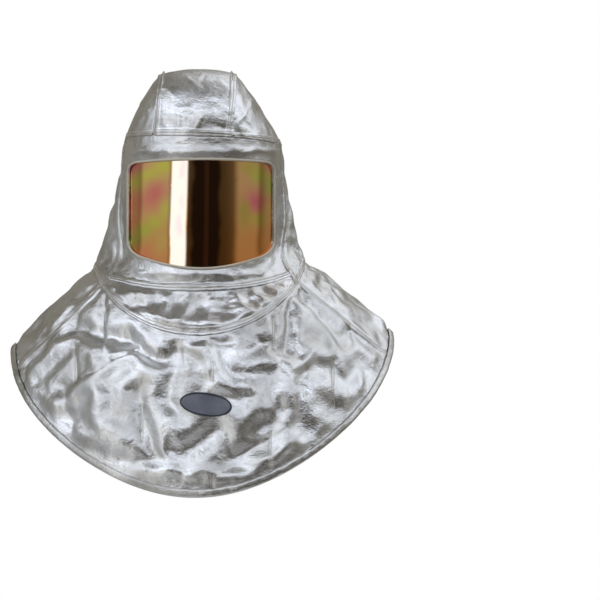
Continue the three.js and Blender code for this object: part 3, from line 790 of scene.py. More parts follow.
# Patches of the coating tinted by its thickness: across, height, half width and half height in
# millimetres, share, tint
coatingSpots = [
    (-102, -148, 22, 16, 0.9, (1, 0.2, 0.3)), (-56, -149, 14, 14, 0.9, (0.92, 0.86, 0.12)),
    (-76, -157, 16, 12, 0.9, (0.88, 0.84, 0.12)), (-96, -170, 16, 13, 0.9, (0.8, 0.78, 0.12)),
    (-92, -196, 24, 16, 0.9, (1, 0.38, 0.2)), (-66, -186, 16, 18, 0.9, (1, 0.26, 0.22)),
    (-50, -208, 10, 16, 0.8, (0.86, 0.8, 0.14)), (-66, -226, 14, 12, 0.9, (0.82, 0.74, 0.12)),
    (-84, -238, 16, 12, 0.9, (0.66, 0.7, 0.1)), (-102, -252, 16, 14, 0.9, (0.56, 0.62, 0.1)),
    (-104, -224, 14, 14, 0.8, (1, 0.34, 0.18)), (-82, -275, 26, 14, 0.9, (1, 0.36, 0.16)),
    (-56, -255, 12, 18, 0.8, (0.9, 0.6, 0.16)), (68, -149, 14, 12, 0.9, (0.8, 0.62, 0.14)),
    (86, -158, 14, 12, 0.9, (0.72, 0.78, 0.12)), (102, -174, 12, 16, 0.9, (0.6, 0.74, 0.12)),
    (82, -196, 16, 18, 0.95, (1, 0.24, 0.3)), (62, -214, 10, 20, 0.8, (0.62, 0.54, 0.1)),
    (84, -222, 14, 10, 0.9, (0.78, 0.66, 0.12)), (104, -208, 10, 14, 0.9, (0.9, 0.6, 0.14)),
    (94, -262, 28, 22, 0.9, (1, 0.42, 0.12)), (104, -144, 12, 10, 0.8, (1, 0.4, 0.24))]


# Colours of the coating, the last three of them painted reflections of the studio, and the upright bands
# where those are painted, in metres: from, to, soft edge
coating = dict(low=(0.95, 0.42, 0.13), high=(1.0, 0.58, 0.27), pale=(1.0, 0.93, 0.86),
               deep=(0.14, 0.065, 0.05), paintedReflectionStreak=(0.86, 0.56, 0.66), paintedPaleReflectionBand=(-0.045, -0.018, 0.0025),
               paintedDarkReflectionBand=(-0.012, 0.026, 0.004), paintedStreakReflectionBand=(-0.034, -0.024, 0.004))


# Gold coating on the window, whose colour changes from place to place with its thickness, with upright bands
# of painted reflection laid over it
def goldCoating(name):
    material, shader, _, place = newMaterial(name, Metallic=1.0)
    x, _, z = place.axes()
    drift = (spots(place, 16.0, 2.0) - 0.5) * 0.02
    x, z = x + drift, z + drift
    color = z.ramp(-0.29, -0.15).mix(coating["low"], coating["high"])
    for across, high, wide, tall, share, tone in coatingSpots:
        across, high, wide, tall = (length * 0.001 for length in (across, high, wide, tall))
        far = ((x - across) / wide) ** 2.0 + ((z - high) / tall) ** 2.0
        spot = (far * -1.0).math("EXPONENT")
        color = (spot * share).mix(color, tone)
    # Painted reflections across the window: a dark band of the dark room in front, a pale band of a bright
    # softbox, and a pinkish line inside the pale band
    color = (x.band(*coating["paintedDarkReflectionBand"]) * 0.93).mix(color, coating["deep"])
    color = (x.band(*coating["paintedPaleReflectionBand"]) * 0.85).mix(color, coating["pale"])
    paintedReflectionStreak = x.band(*coating["paintedStreakReflectionBand"]) * spots(place, 26.0, 1.0).ramp(0.45, 0.7)
    color = (paintedReflectionStreak * 0.5).mix(color, coating["paintedReflectionStreak"])
    paint(shader, Base_Color=color, Roughness=0.035 + 0.03 * spots(place, 30.0, 3.0),
          Normal=bump(spots(place, 9.0, 1.0), 0.0006))
    return material


twill = dict(blue=(0.22, 0.235, 0.29), grey=(0.30, 0.315, 0.36), gaps=(0.12, 0.13, 0.17))


def patchCloth(name):
    material, shader, start, place = newMaterial(name, Metallic=0.0)
    threads = weave(start, 0.0011)
    shade = spots(place, 50.0, 3.0).ramp(0.3, 0.7)
    color = shade.mix(twill["blue"], twill["grey"])
    paint(shader, Base_Color=(0.4 + 0.6 * threads).mix(twill["gaps"], color),
          Roughness=0.55 + 0.2 * shade, Normal=bump(threads, 0.0003))
    return material


def paleFloor(name):
    material, shader, _, place = newMaterial(name, Roughness=0.9)
    speck = spots(place, 25.0, 4.0).ramp(0.3, 0.7)
    paint(shader, Base_Color=speck.mix((0.86, 0.86, 0.85), (0.9, 0.9, 0.89)))
    return material


aluminized = aluminizedCloth("aluminized cloth", silver["bright"], silver["dull"])
tape = aluminizedCloth("hem tape", (0.72, 0.71, 0.68), (0.5, 0.49, 0.46))
seamThread = threadCord("seam thread", (0.78, 0.73, 0.62))
beadCord = threadCord("bead cord", (0.86, 0.80, 0.66))
overlockThread = threadCord("overlock thread", (0.34, 0.33, 0.31))
lining = liningCloth("olive lining")
gold = goldCoating("gold coating")
patchTwill = patchCloth("patch twill")
patchThread = threadCord("patch edging", (0.05, 0.06, 0.08))
print("materials made")


crownCreases = [
    (178, 108, 178, 131, 1.2, 4, 1), (187, 76, 200, 89, 1.2, 3.5, 1), (205, 76, 197, 86, -1.1, 3.5, 1),
    (187, 107, 179, 115, 1.0, 3, 1), (168, 110, 192, 114, -1.0, 4, 1), (202, 115, 195, 128, 1.2, 3.5, 1),
    (215, 99, 231, 120, -1.3, 4, 1), (218, 78, 229, 89, 1.0, 4, 1), (134, 126, 150, 110, 1.3, 4, 1),
    (255, 94, 268, 115, -1.3, 4, 1), (242, 120, 252, 99, 1.4, 4, 1), (163, 88, 176, 96, 1.0, 4, 1),
    (162, 122, 170, 130, 1.0, 4, 1), (212, 124, 226, 129, -1.0, 4, 1), (142, 104, 147, 92, 1.0, 4, 1)]
panel("crown strip", lambda u, v: stripPoint(2 * u - 1, lerp(0.002, 0.998, v)), (114, 380),
      dict(left="over", right="over", top="over", bottom="over"), 100, crownCreases, amount=0.23)
for name, side, seed in (("crown side left", -1, 110), ("crown side right", 1, 120)):
    panel(name, lambda u, v, side=side: crownSidePoint(side, lerp(0.012, 0.988, u), v), (300, 110),
          dict(top="under", bottom="over"), seed, crownCreases, amount=0.65)
print("crown sewn")

window = dict(halfWidth=106, topZ=-138, bottomZ=-293, topBow=2, bottomBow=14, topCorner=14, bottomCorner=28,
              lap=9, beadWidth=3, gap=0.4, thick=1.9, rings=56, middle=(0, -215.0))


# Outline of the window seen from the front, grown by a margin
def windowOutline(margin, count=60):
    w, top, low = window["halfWidth"] + margin, window["topZ"] + margin, window["bottomZ"] - margin
    topCorner, lowCorner = window["topCorner"] + margin, window["bottomCorner"] + margin
    lowEnd, topEnd = low + window["bottomBow"], top - window["topBow"]
    t = np.linspace(0, 1, count, endpoint=False)[:, None]
    foot, head = lowEnd + lowCorner, topEnd - topCorner
    waist = 0.5 * (foot + head)
    bends = [
        ((-w + lowCorner, lowEnd), (0, low - window["bottomBow"]), (w - lowCorner, lowEnd)),
        ((w - lowCorner, lowEnd), (w, lowEnd + lowCorner / 4), (w, foot)),
        ((w, foot), (w, waist), (w, head)),
        ((w, head), (w, topEnd), (w - topCorner, topEnd)),
        ((w - topCorner, topEnd), (0, top + window["topBow"]), (-w + topCorner, topEnd)),
        ((-w + topCorner, topEnd), (-w, topEnd), (-w, head)), ((-w, head), (-w, waist), (-w, foot)),
        ((-w, foot), (-w, lowEnd + lowCorner / 4), (-w + lowCorner, lowEnd))]
    parts = []
    for bend in bends:
        a, b, c = (np.array(corner, float) for corner in bend)
        parts.append((1 - t) ** 2 * a + 2 * t * (1 - t) * b + t**2 * c)
    return np.concatenate(parts)


# First guess of the face panel's size, and how the search for a place on it goes on
faceSearch = dict(width=300, height=230, rounds=30, pull=0.8, small=1e-4)


# Shares across and down the face panel that meet a place seen from the front
def faceShares(place):
    pull, small = faceSearch["pull"], faceSearch["small"]
    u, v = 0.5 + place[..., 0] / faceSearch["width"], (brow["frontZ"] - place[..., 1]) / faceSearch["height"]
    for _ in range(faceSearch["rounds"]):
        p = facePoint(u, v)[..., [0, 2]]
        du = (facePoint(u + small, v)[..., [0, 2]] - p) / small
        dv = (facePoint(u, v + small)[..., [0, 2]] - p) / small
        off = place - p
        area = du[..., 0] * dv[..., 1] - du[..., 1] * dv[..., 0]
        u = np.clip(u + pull * (off[..., 0] * dv[..., 1] - off[..., 1] * dv[..., 0]) / area, 0.02, 0.98)
        v = np.clip(v + pull * (du[..., 0] * off[..., 1] - du[..., 1] * off[..., 0]) / area, -0.2, 1.2)
    return u, v


# Once round a square of shares, with its points closer together near the corners
def squareWalk(across, down):
    left, top = spacing(down, 3), spacing(across, 3)
    return np.concatenate([
        np.stack([top[:-1], 0 * top[:-1]], -1), np.stack([0 * left[:-1] + 1, left[:-1]], -1),
        np.stack([top[::-1][:-1], 0 * top[:-1] + 1], -1), np.stack([0 * left[:-1], left[::-1][:-1]], -1)])


faceCloth = dict(width=330, height=230, reach=60, step=2.2, inside=2.5, past=dict(over=-2.2, under=-8.0),
                 shares=(0.35, 0.7, 1.0), turnIn=1.3, turnWidth=3.0, amount=0.42, stretch=(0.8, 0.8, 1.5))


# Grid of the cloth round the window: first index round it, second from the window's edge out to the seams
def faceRing(margin):
    border = squareWalk(faceCloth["width"], faceCloth["height"])
    u, v = faceShares(windowOutline(margin))
    angle, reach = np.arctan2(v - 0.5, u - 0.5), np.hypot(u - 0.5, v - 0.5)
    order = np.argsort(angle)
    toward = np.arctan2(border[:, 1] - 0.5, border[:, 0] - 0.5)
    near = np.interp(toward, angle[order], reach[order], period=2 * math.pi)
    inner = 0.5 + np.stack([np.cos(toward), np.sin(toward)], -1) * near[:, None]
    share = spacing(faceCloth["reach"], faceCloth["step"])[None, :, None]
    return lerp(inner[:, None], border[:, None], share)


faceCreases = [
    (140, 274, 260, 274, 1.6, 5.5, 0), (131, 262, 140, 274, 1.4, 6, 0), (260, 274, 271, 262, 1.4, 6, 0),
    (150, 283, 250, 283, -1.2, 4, 1), (116, 200, 116, 268, 1.5, 4, 0), (121, 205, 122, 262, -1.2, 3, 1),
    (284, 170, 288, 235, -1.4, 6, 1), (278, 180, 280, 240, 1.0, 6, 0), (130, 151, 272, 151, 2.4, 6.5, 0),
    (130, 152, 128, 240, 1.0, 4, 0)]


# Values of a table at shares between its rows and columns
def sampled(table, u, v, us, vs):
    i = np.clip(np.searchsorted(us, u, side="right") - 1, 0, len(us) - 2)
    j = np.clip(np.searchsorted(vs, v, side="right") - 1, 0, len(vs) - 2)
    fu, fv = (u - us[i]) / (us[i + 1] - us[i]), (v - vs[j]) / (vs[j + 1] - vs[j])
    low = lerp(table[i, j], table[i + 1, j], fu)
    return lerp(low, lerp(table[i, j + 1], table[i + 1, j + 1], fu), fv)


def makeFace():
    edges = dict(left="over", right="over", top="under", bottom="over")
    place = faceRing(window["beadWidth"] + window["gap"] - faceCloth["inside"])
    u, v = place[..., 0], place[..., 1]
    us, vs = np.linspace(0, 1, 90), np.linspace(0, 1, 70)
    whole = distancesTo(facePoint(*np.meshgrid(us, vs, indexing="ij")))
    d = {key: sampled(value, u, v, us, vs) for key, value in whole.items()}
    p = facePoint(u, v)
    way = unit(p[:, -1] - p[:, -3])
    near = {key: value[:, -1] for key, value in d.items()}
    edgeNow = np.stack([near[key] for key in edges]).argmin(0)
    reach = np.array([faceCloth["past"][kind] for kind in edges.values()])[edgeNow]
    rows, far = [p], {key: [value] for key, value in d.items()}
    for share in faceCloth["shares"]:
        rows.append((p[:, -1] - way * (reach * share)[:, None])[:, None])
        for n, key in enumerate(edges):
            far[key].append((near[key] + np.where(edgeNow == n, reach * share, 0))[:, None])
    base, d = np.concatenate(rows, 1), {key: np.concatenate(value, 1) for key, value in far.items()}
    height = seamHeight(base, d, edges, 130, onLine=False)
    fromWindow = distancesTo(base)["top"]
    height -= faceCloth["turnIn"] * np.exp(-(fromWindow / faceCloth["turnWidth"]))
    lifted, free = creased(base, d, edges, faceCloth["amount"], faceCloth["stretch"], "head")
    height += lifted * (0.2 + 0.8 * smoothstep(fromWindow, 0, 14)) + seenHeight(base, faceCreases) * free
    n = normalsOf(base, closed=True)
    made = base + n * height[..., None]
    piece = gridMesh("face panel", made, aluminized, closed=True, thick=1.6)
    panels["face panel"] = dict(piece=piece, p=made, d=d, n=normalsOf(made, closed=True))
    return whole


faceWhole = makeFace()

chinCreases = [
    (146, 296, 150, 312, 2.2, 9, 0), (160, 303, 204, 303, -2.6, 9, 0), (200, 297, 233, 297, -2.2, 6, 1),
    (162, 321, 205, 321, 2.4, 7, 0), (213, 300, 233, 306, 2.0, 6, 1), (234, 294, 279, 300, 1.8, 7, 1),
    (226, 304, 248, 304, -1.8, 4, 1), (226, 311, 249, 311, 1.8, 4, 1), (223, 320, 281, 322, -2.0, 9, 0),
    (135, 297, 124, 308, 1.8, 4, 1), (109, 262, 106, 282, -2.0, 5, 1), (150, 289, 155, 322, -1.6, 5, 1),
    (205, 296, 209, 326, 1.4, 6, 1)]
panel("chin panel", chinPoint, (330, 70), dict(left="over", right="over", top="under", bottom="over"),
      140, chinCreases, amount=0.7)
for name, left, right, seed in (
        ("head side right", faceSeam, napeSeam, 150),
        ("head side left", mirrored(napeSeam, 360), mirrored(faceSeam, 360), 160)):
    panel(name, between(headPoint, left, right), (190, 230),
          dict(left="under", right="under", top="under", bottom="over"), seed,
          amount=0.8, stretch=(0.9, 0.9, 1.4))
panel("head back", between(headPoint, napeSeam, mirrored(napeSeam, 360)), (190, 150),
      dict(left="over", right="over", top="under", bottom="over"), 170, amount=0.8)
print("head sewn")

bibCreases = [
    (84, 376, 92, 372, -1.6, 4, 1), (92, 372, 114, 358, -2.8, 4.5, 1), (114, 358, 134, 350.5, -2.8, 4, 1),
    (134, 350.5, 147, 355, -2.4, 4, 1), (147, 355, 160, 358, -1.8, 4, 1), (101, 312, 104, 352, -2.0, 4, 1),
    (62, 388, 70, 428, -3, 9, 0), (126, 391, 133, 412, -2.0, 3.5, 1), (133, 412, 139, 433, -2.2, 4, 1),
    (139, 433, 147, 452, -2.4, 5, 1), (160, 455, 176, 462, -2, 7, 0), (290, 309, 294, 332, -2.4, 4, 1),
    (294, 332, 300, 357, -2.6, 4.5, 1), (300, 357, 306, 371, -2.0, 4, 1), (240, 390, 250, 398, -1.8, 6, 0),
    (258, 338, 264, 346, -2.0, 5, 0), (280, 364, 290, 372, -2, 5, 0), (300, 385, 308, 392, -2, 6, 0),
    (228, 462, 252, 448, -1.4, 5, 1), (252, 448, 286, 430, -1.6, 5, 1), (352, 321, 350, 350, -2.4, 5, 1),
    (166, 342, 232, 341, -2.0, 6, 0), (176, 372, 232, 366, 1.2, 9, 0), (236, 352, 246, 384, 1.4, 5, 1),
    (96, 400, 118, 440, 2.0, 14, 0), (250, 405, 284, 418, 2.0, 9, 0), (170, 420, 190, 470, 1.4, 9, 0),
    (40, 372, 58, 404, 2.2, 10, 0), (330, 360, 372, 396, 2.2, 10, 0), (180, 350, 184, 380, -1.6, 5, 1),
    (216, 350, 222, 372, -1.8, 4, 1)]
quilting = dict(depth=1.7, width=3.6, rows=[
    (76, 347, 76, 381), (142, 407, 142, 442), (212, 361, 212, 381), (212, 476, 212, 493),
    (270, 433, 270, 473), (274, 318, 274, 347), (333, 361, 333, 407)])
quiltCreases = [(*row, -quilting["depth"], quilting["width"], 0) for row in quilting["rows"]]


def skirtPanel(name, left, right, size, sideKind, seed, creases=()):
    pointAt = between(skirtPoint, left, right)
    edges = dict(left=sideKind, right=sideKind, top="under", bottom="free")
    panel(name, lambda u, v: pointAt(u, v * 0.993), size, edges, seed, creases,
          extra=lambda p, d: ((hemWave(p) - 0.4) * (1 - smoothstep(d["bottom"], 14, 60))
                              + seenHeight(p, quiltCreases, 0)))


skirtPanel("bib panel", mirrored(bibSeam), bibSeam, (560, 235), "over", 200, bibCreases)
skirtPanel("shoulder right", bibSeam, backSeam, (250, 175), "under", 210)
skirtPanel("shoulder left", mirrored(backSeam, 360), mirrored(bibSeam, 360), (250, 175), "under", 220)
skirtPanel("skirt back", backSeam, mirrored(backSeam, 360), (480, 165), "over", 230)
print("skirt sewn")


# How deep the lining lies behind the shell, less at the hem, and how far one lining reaches past the next
liningLay = dict(slack=1.9, depth=5, atHem=2.9, overlap=6, wave=2.2, waveSize=60, fold=1.6, foldSize=24,
                 least=-1.2, thick=1.0)


def liningOf(name, pointAt, us, vs, closed, ripple):
    u, v = np.meshgrid(us, vs, indexing="ij")
    p = pointAt(u, v)
    n = normalsOf(p, closed)
    onSkirt = p[..., 2].min() < -500
    away = 1 - smoothstep(v, 0.8, 0.97) if onSkirt else np.ones_like(v)
    inner = p - n * (wall["face"] + wall["lay"] + liningLay["slack"] + liningLay["depth"] * away)[..., None]
    waves = noise(inner, liningLay["waveSize"], 300) * liningLay["wave"]
    folds = noise(inner / np.array((1, 1, 2.5)), liningLay["foldSize"], 301) * liningLay["fold"]
    made = inner - n * (np.maximum(waves + folds, liningLay["least"]) * ripple)[..., None]
    if onSkirt:
        near = 1 - smoothstep(distancesTo(p)["bottom"], 8, 30)
        made = lerp(made, p - n * (liningLay["atHem"] - hemWave(p))[..., None], near[..., None])
    for end, within in ((0, 2), (-1, -3)):
        if closed and not (onSkirt and end):
            more = made[:, end] + unit(made[:, end] - made[:, within]) * liningLay["overlap"]
            made = np.insert(made, 0 if end == 0 else made.shape[1], more, axis=1)
    return gridMesh(name, made, lining, closed=closed, thick=liningLay["thick"]), made


turnShares = np.linspace(0, 1, 260, endpoint=False)
headLining, headLiningCloth = liningOf(
    "head lining", lambda u, v: headPoint(360 * u, v), turnShares, np.linspace(0.012, 0.985, 80), True, 1.0)
skirtLining, skirtLiningCloth = liningOf(
    "skirt lining", lambda u, v: skirtPoint(360 * u, v), turnShares, np.linspace(0.01, 0.992, 60), True, 1.0)


# The strip takes the middle 0.36 of the shares across, and the sides take the rest
def crownInside(u, v):
    side = np.where(v < 0.5, -1, 1)
    at = lerp(0.012, 0.988, u)
    down = np.abs(v - 0.5) * 2
    onStrip = stripPoint(np.clip((v - 0.5) / 0.18, -1, 1), at)
    sidesOf = crownSidePoint(side, at, np.clip((down - 0.36) / 0.64, 0, 0.985))
    return np.where((down < 0.36)[..., None], onStrip, sidesOf)


crownLining, crownLiningCloth = liningOf(
    "crown lining", crownInside, np.linspace(0, 1, 120), np.linspace(0, 1, 110), False, 0.6)


# The head lining stops round the window
def cutWindow(piece, margin):
    place = windowOutline(margin)
    mesh = piece.data
    middle = np.zeros(len(mesh.polygons) * 3)
    mesh.polygons.foreach_get("center", middle)
    middle = middle.reshape(-1, 3) * 1000
    x, z = middle[:, 0], middle[:, 2]
    inside = np.zeros(len(middle), bool)
    for (x0, z0), (x1, z1) in zip(place, np.roll(place, -1, 0)):
        if z0 == z1:
            continue
        crosses = (z0 > z) != (z1 > z)
        inside ^= crosses & (x < (x1 - x0) * (z - z0) / (z1 - z0) + x0)
    made = bmesh.new()
    made.from_mesh(mesh)
    made.faces.ensure_lookup_table()
    gone = [made.faces[i] for i in np.nonzero(inside & (middle[:, 1] < 0))[0]]
    bmesh.ops.delete(made, geom=gone, context="FACES")
    made.to_mesh(mesh)
    made.free()


cutWindow(headLining, window["lap"] + 1.5)
print("lining sewn")


def makeWindow():
    outline = windowOutline(window["lap"] - 0.5, 20)
    rings = np.linspace(0.02, 1, window["rings"])[None, :, None]
    place = lerp(np.array(window["middle"]), outline[:, None], rings)
    p = facePoint(*faceShares(place))
    made = p - outward(p) * (wall["face"] + wall["lay"] + 0.1)
    piece = gridMesh("window pane", made, gold, closed=True, thick=window["thick"])
    closeMiddle(piece, len(outline), window["rings"])
    return piece


# One face over the hole in the middle of a grid of rings
def closeMiddle(piece, around, rings):
    made = bmesh.new()
    made.from_mesh(piece.data)
    made.verts.ensure_lookup_table()
    filled = made.faces.new([made.verts[i * rings] for i in range(around)])
    filled.smooth = True
    bmesh.ops.recalc_face_normals(made, faces=made.faces[:])
    made.to_mesh(piece.data)
    made.free()


pane = makeWindow()
print("window set")


# Lines in millimetres as the edges of a mesh, with the way in which each of their stitches faces
def lineObject(name, lines, closed=False, facing=None):
    points, edges, ways = [], [], []
    for n, line in enumerate(lines):
        first = len(points)
        points += (line * 0.001).tolist()
        edges += [(first + i, first + i + 1) for i in range(len(line) - 1)]
        if closed:
            edges.append((first + len(line) - 1, first))
        if facing is not None:
            ways += facing[n].tolist()
    mesh = bpy.data.meshes.new(name)
    mesh.from_pydata(points, edges, [])
    if facing is not None:
        facings = mesh.attributes.new("facing", "FLOAT_VECTOR", "POINT")
        facings.data.foreach_set("vector", np.array(ways).ravel())
    return placed(name, mesh)


# Points a set distance apart along the lines of a mesh
def evenLine(given, gap):
    line = given["Geometry"].node("GeometryNodeMeshToCurve", Mesh=given["Geometry"])
    return line.node("GeometryNodeResampleCurve", settings=dict(mode="LENGTH"),
                     Curve=line, Length=given[gap])


def finishTree(tree, shape, material, taken):
    real = shape.node("GeometryNodeRealizeInstances", Geometry=shape)
    made = real.node("GeometryNodeSetMaterial", Geometry=real, Material=material)
    tree.links.new(made.socket, taken.inputs[0])
    return tree


def newTree(name, sizes):
    tree = bpy.data.node_groups.new(name, "GeometryNodeTree")
    tree.interface.new_socket("Geometry", in_out="INPUT", socket_type="NodeSocketGeometry")
    for key, kind in sizes.items():
        tree.interface.new_socket(key, in_out="INPUT", socket_type=kind)
    tree.interface.new_socket("Geometry", in_out="OUTPUT", socket_type="NodeSocketGeometry")
    given = tree.nodes.new("NodeGroupInput")
    taken = tree.nodes.new("NodeGroupOutput")
    return tree, {socket.name: Wire(tree, socket) for socket in given.outputs if socket.name}, taken


# Short rounded stitches laid end to end along the lines, with a little unevenness
def stitchTree():
    tree, given, taken = newTree("stitches", {
        "Pitch": "NodeSocketFloat", "Length": "NodeSocketFloat", "Thickness": "NodeSocketFloat",
        "Slant": "NodeSocketFloat", "Unevenness": "NodeSocketFloat", "Seed": "NodeSocketInt",
        "Thread": "NodeSocketMaterial"})
    start = Wire(tree)
    even = evenLine(given, "Pitch")
    points = even.node("GeometryNodeCurveToPoints", settings=dict(mode="EVALUATED"), Curve=even)
    facing = start.node("GeometryNodeInputNamedAttribute", settings=dict(data_type="FLOAT_VECTOR"),
                        Name="facing")
    alongLine = Wire(tree, points.socket.node.outputs["Tangent"])
    turned = start.node("FunctionNodeAlignRotationToVector", settings=dict(axis="Z"), Vector=alongLine)
    turned = turned.node("FunctionNodeAlignRotationToVector", settings=dict(axis="X", pivot_axis="Z"),
                         Rotation=turned, Vector=facing)
    one = start.node("GeometryNodeMeshUVSphere", i0=5, i1=4, i2=0.5)
    size = start.node("ShaderNodeCombineXYZ", X=given["Thickness"], Y=given["Thickness"], Z=given["Length"])
    stitch = one.node("GeometryNodeTransform", Geometry=one, Scale=size)
    smooth = stitch.node("GeometryNodeSetShadeSmooth", Geometry=stitch)
    lean = start.node("FunctionNodeRandomValue", out=1, settings=dict(data_type="FLOAT"),
                      i2=-1.0 * given["Unevenness"], i3=given["Unevenness"], Seed=given["Seed"])
    slant = start.node("ShaderNodeCombineXYZ", X=given["Slant"] + lean, Y=0.0, Z=0.0)
    laid = start.node("GeometryNodeInstanceOnPoints", Points=points, Instance=smooth, Rotation=turned)
    leaned = laid.node("GeometryNodeRotateInstances", Instances=laid, Rotation=slant)
    return finishTree(tree, leaned, given["Thread"], taken)


# A round cord swept along a closed line, for the bead of the window
def beadTree():
    tree, given, taken = newTree("bead", {
        "Radius": "NodeSocketFloat", "Step": "NodeSocketFloat", "Cloth": "NodeSocketMaterial"})
    start = Wire(tree)
    even = evenLine(given, "Step")
    ring = start.node("GeometryNodeCurvePrimitiveCircle", Resolution=10, Radius=given["Radius"])
    swept = even.node("GeometryNodeCurveToMesh", Curve=even, i1=ring)
    smooth = swept.node("GeometryNodeSetShadeSmooth", Geometry=swept)
    return finishTree(tree, smooth, given["Cloth"], taken)


# What a node tree grows along lines, as a piece of its own
def grown(name, lines, tree, values, closed=False, facing=None):
    source = lineObject(name + " line", lines, closed, facing)
    modifier = source.modifiers.new("grown", "NODES")
    modifier.node_group = tree
    sockets = {item.name: item.identifier for item in tree.interface.items_tree if item.in_out == "INPUT"}
    for key, value in values.items():
        modifier[sockets[key]] = value
    source.update_tag()
    graph = bpy.context.evaluated_depsgraph_get()
    graph.update()
    mesh = bpy.data.meshes.new_from_object(source.evaluated_get(graph))
    mesh.name = name
    piece = placed(name.replace(" ", "-"), mesh)
    bpy.data.objects.remove(source)
    return piece


# Metres and radians
stitchSizes = {"Pitch": 0.0038, "Length": 0.0031, "Thickness": 0.0011, "Slant": 0.0, "Unevenness": 0.12,
               "Seed": 5}
seamSizes = {**stitchSizes, "Thread": seamThread}
stitching = stitchTree()


# Lines of a panel's cloth that keep a distance from one of its edges
def rowAlong(name, edge, inset):
    cloth = panels[name]
    p, n, d = cloth["p"], cloth["n"], cloth["d"][edge]
    if edge in ("top", "bottom"):
        p, n, d = p.transpose(1, 0, 2), n.transpose(1, 0, 2), d.T
    order = d if edge in ("left", "top") else d[::-1]
    q, m = (p, n) if edge in ("left", "top") else (p[::-1], n[::-1])
    columns = np.arange(q.shape[1])
    i = (order < inset).sum(0).clip(1, len(order) - 1)
    low, high = order[i - 1, columns], order[i, columns]
    share = np.clip((inset - low) / np.maximum(high - low, 1e-6), 0, 1)[:, None]
    line = lerp(q[i - 1, columns], q[i, columns], share) + m[i, columns] * lap["threadLift"]
    return line, m[i, columns]


sewnEdges = {
    "crown strip": ("left", "right", "top", "bottom"), "crown side left": ("bottom",),
    "crown side right": ("bottom",), "chin panel": ("left", "right", "bottom"),
    "head side right": ("bottom",), "head side left": ("bottom",), "head back": ("left", "right", "bottom"),
    "bib panel": ("left", "right"), "skirt back": ("left", "right")}
lines, facings = [], []
for name, edges in sewnEdges.items():
    for edge in edges:
        for inset in lap["threadIn"]:
            line, facing = rowAlong(name, edge, inset)
            lines.append(line[3:-3])
            facings.append(facing[3:-3])


# The face panel's rows run from the window out, so its thread is found along each of them
def faceRows(inset):
    cloth = panels["face panel"]
    nearest = np.stack([cloth["d"][edge] for edge in ("left", "right", "bottom")]).min(0)
    found = [([], [])]
    for row, inner in enumerate(nearest):
        i = int((inner > inset).sum())
        if 0 < i < len(inner) and cloth["d"]["top"][row, i] > 6 and inner[0] > inset:
            share = (inner[i - 1] - inset) / max(inner[i - 1] - inner[i], 1e-6)
            p = lerp(cloth["p"][row, i - 1], cloth["p"][row, i], share)
            found[-1][0].append(p + cloth["n"][row, i] * lap["threadLift"])
            found[-1][1].append(cloth["n"][row, i])
        else:
            found.append(([], []))
    return [(np.array(line), np.array(facing)) for line, facing in found if len(line) > 2]


for inset in lap["threadIn"]:
    for line, facing in faceRows(inset):
        lines.append(line)
        facings.append(facing)

seamStitches = grown("seam stitches", lines, stitching, seamSizes, facing=facings)
print("seams stitched", len(seamStitches.data.polygons))


# The nearest points by their distances, and a share for each of them
def nearestOf(away, count, soft):
    near = np.argsort(away)[:count]
    share = 1 / (away[near] + soft)
    return near, share / share.sum()


# Stitches of the quilting lie on the bib where its short rows are seen from the front
def nearestOn(cloth, x0, y0, x1, y1, count=30):
    seen = seenFromFront(cloth["p"]).reshape(-1, 2)
    p, n = cloth["p"].reshape(-1, 3), cloth["n"].reshape(-1, 3)
    line, facing = [], []
    for t in np.linspace(0, 1, count):
        away = np.linalg.norm(seen - np.array([lerp(x0, x1, t), lerp(y0, y1, t)]), axis=1)
        near, share = nearestOf(away, 6, 0.2)
        line.append((p[near] * share[:, None]).sum(0) + n[near[0]] * 0.35)
        facing.append(n[near[0]])
    return np.array(line), np.array(facing)


lines, facings = [], []
for x0, y0, x1, y1 in quilting["rows"]:
    for aside in (-1.1, 1.1):
        line, facing = nearestOn(panels["bib panel"], x0 + aside, y0, x1 + aside, y1)
        lines.append(line)
        facings.append(facing)
quiltStitches = grown("quilting stitches", lines, stitching, seamSizes, facing=facings)

# Bead round the window
outline = windowOutline(window["beadWidth"] / 2 + 0.1)
onFace = facePoint(*faceShares(outline))
beadLine = onFace + outward(onFace) * 0.7
beadSizes = {"Radius": 0.0017, "Step": 0.002, "Cloth": beadCord}
bead = grown("window bead", [beadLine], beadTree(), beadSizes, closed=True)
print("bead laid")


binding = dict(around=620, rows=60, fromShare=0.86, proud=1.25, thick=0.8)


# Tape folded over the hem: its section goes from the outer edge round the hem to the inner edge, by the
# distance from the hem and out from the cloth
def makeTape():
    u, v = np.meshgrid(np.linspace(0, 1, binding["around"], endpoint=False),
                       np.linspace(binding["fromShare"], 1, binding["rows"]), indexing="ij")
    down = skirtPoint(360 * u, v)
    length = distancesTo(down)["bottom"]
    n = normalsOf(down, closed=True)
    outer, inner = binding["proud"], -(wall["face"] + wall["lay"] + wall["lining"] + binding["proud"])
    section = [
        (10.5, outer - 0.6), (10.2, outer), (7.5, outer + 0.3), (4, outer + 0.2), (1.2, outer),
        (0.2, outer - 0.8), (-0.2, (outer + inner) / 2), (0.2, inner + 0.8), (1.2, inner), (4, inner),
        (7.5, inner), (10.2, inner), (10.5, inner + 0.6)]
    loops = []
    rows = np.arange(len(u))
    for fromHem, out in section:
        i = (length > fromHem).sum(1).clip(1, binding["rows"] - 1)
        before, after = length[rows, i - 1], length[rows, i]
        share = np.clip((before - fromHem) / np.maximum(before - after, 1e-6), 0, 1.1)
        p = lerp(down[rows, i - 1], down[rows, i], share[:, None])
        loops.append(p + n[rows, i] * (out + hemWave(p))[:, None])
    made = np.stack(loops, 1)
    return gridMesh("hem tape", made, tape, closed=True, thick=binding["thick"], flip=False), made


hemTape, hemCloth = makeTape()

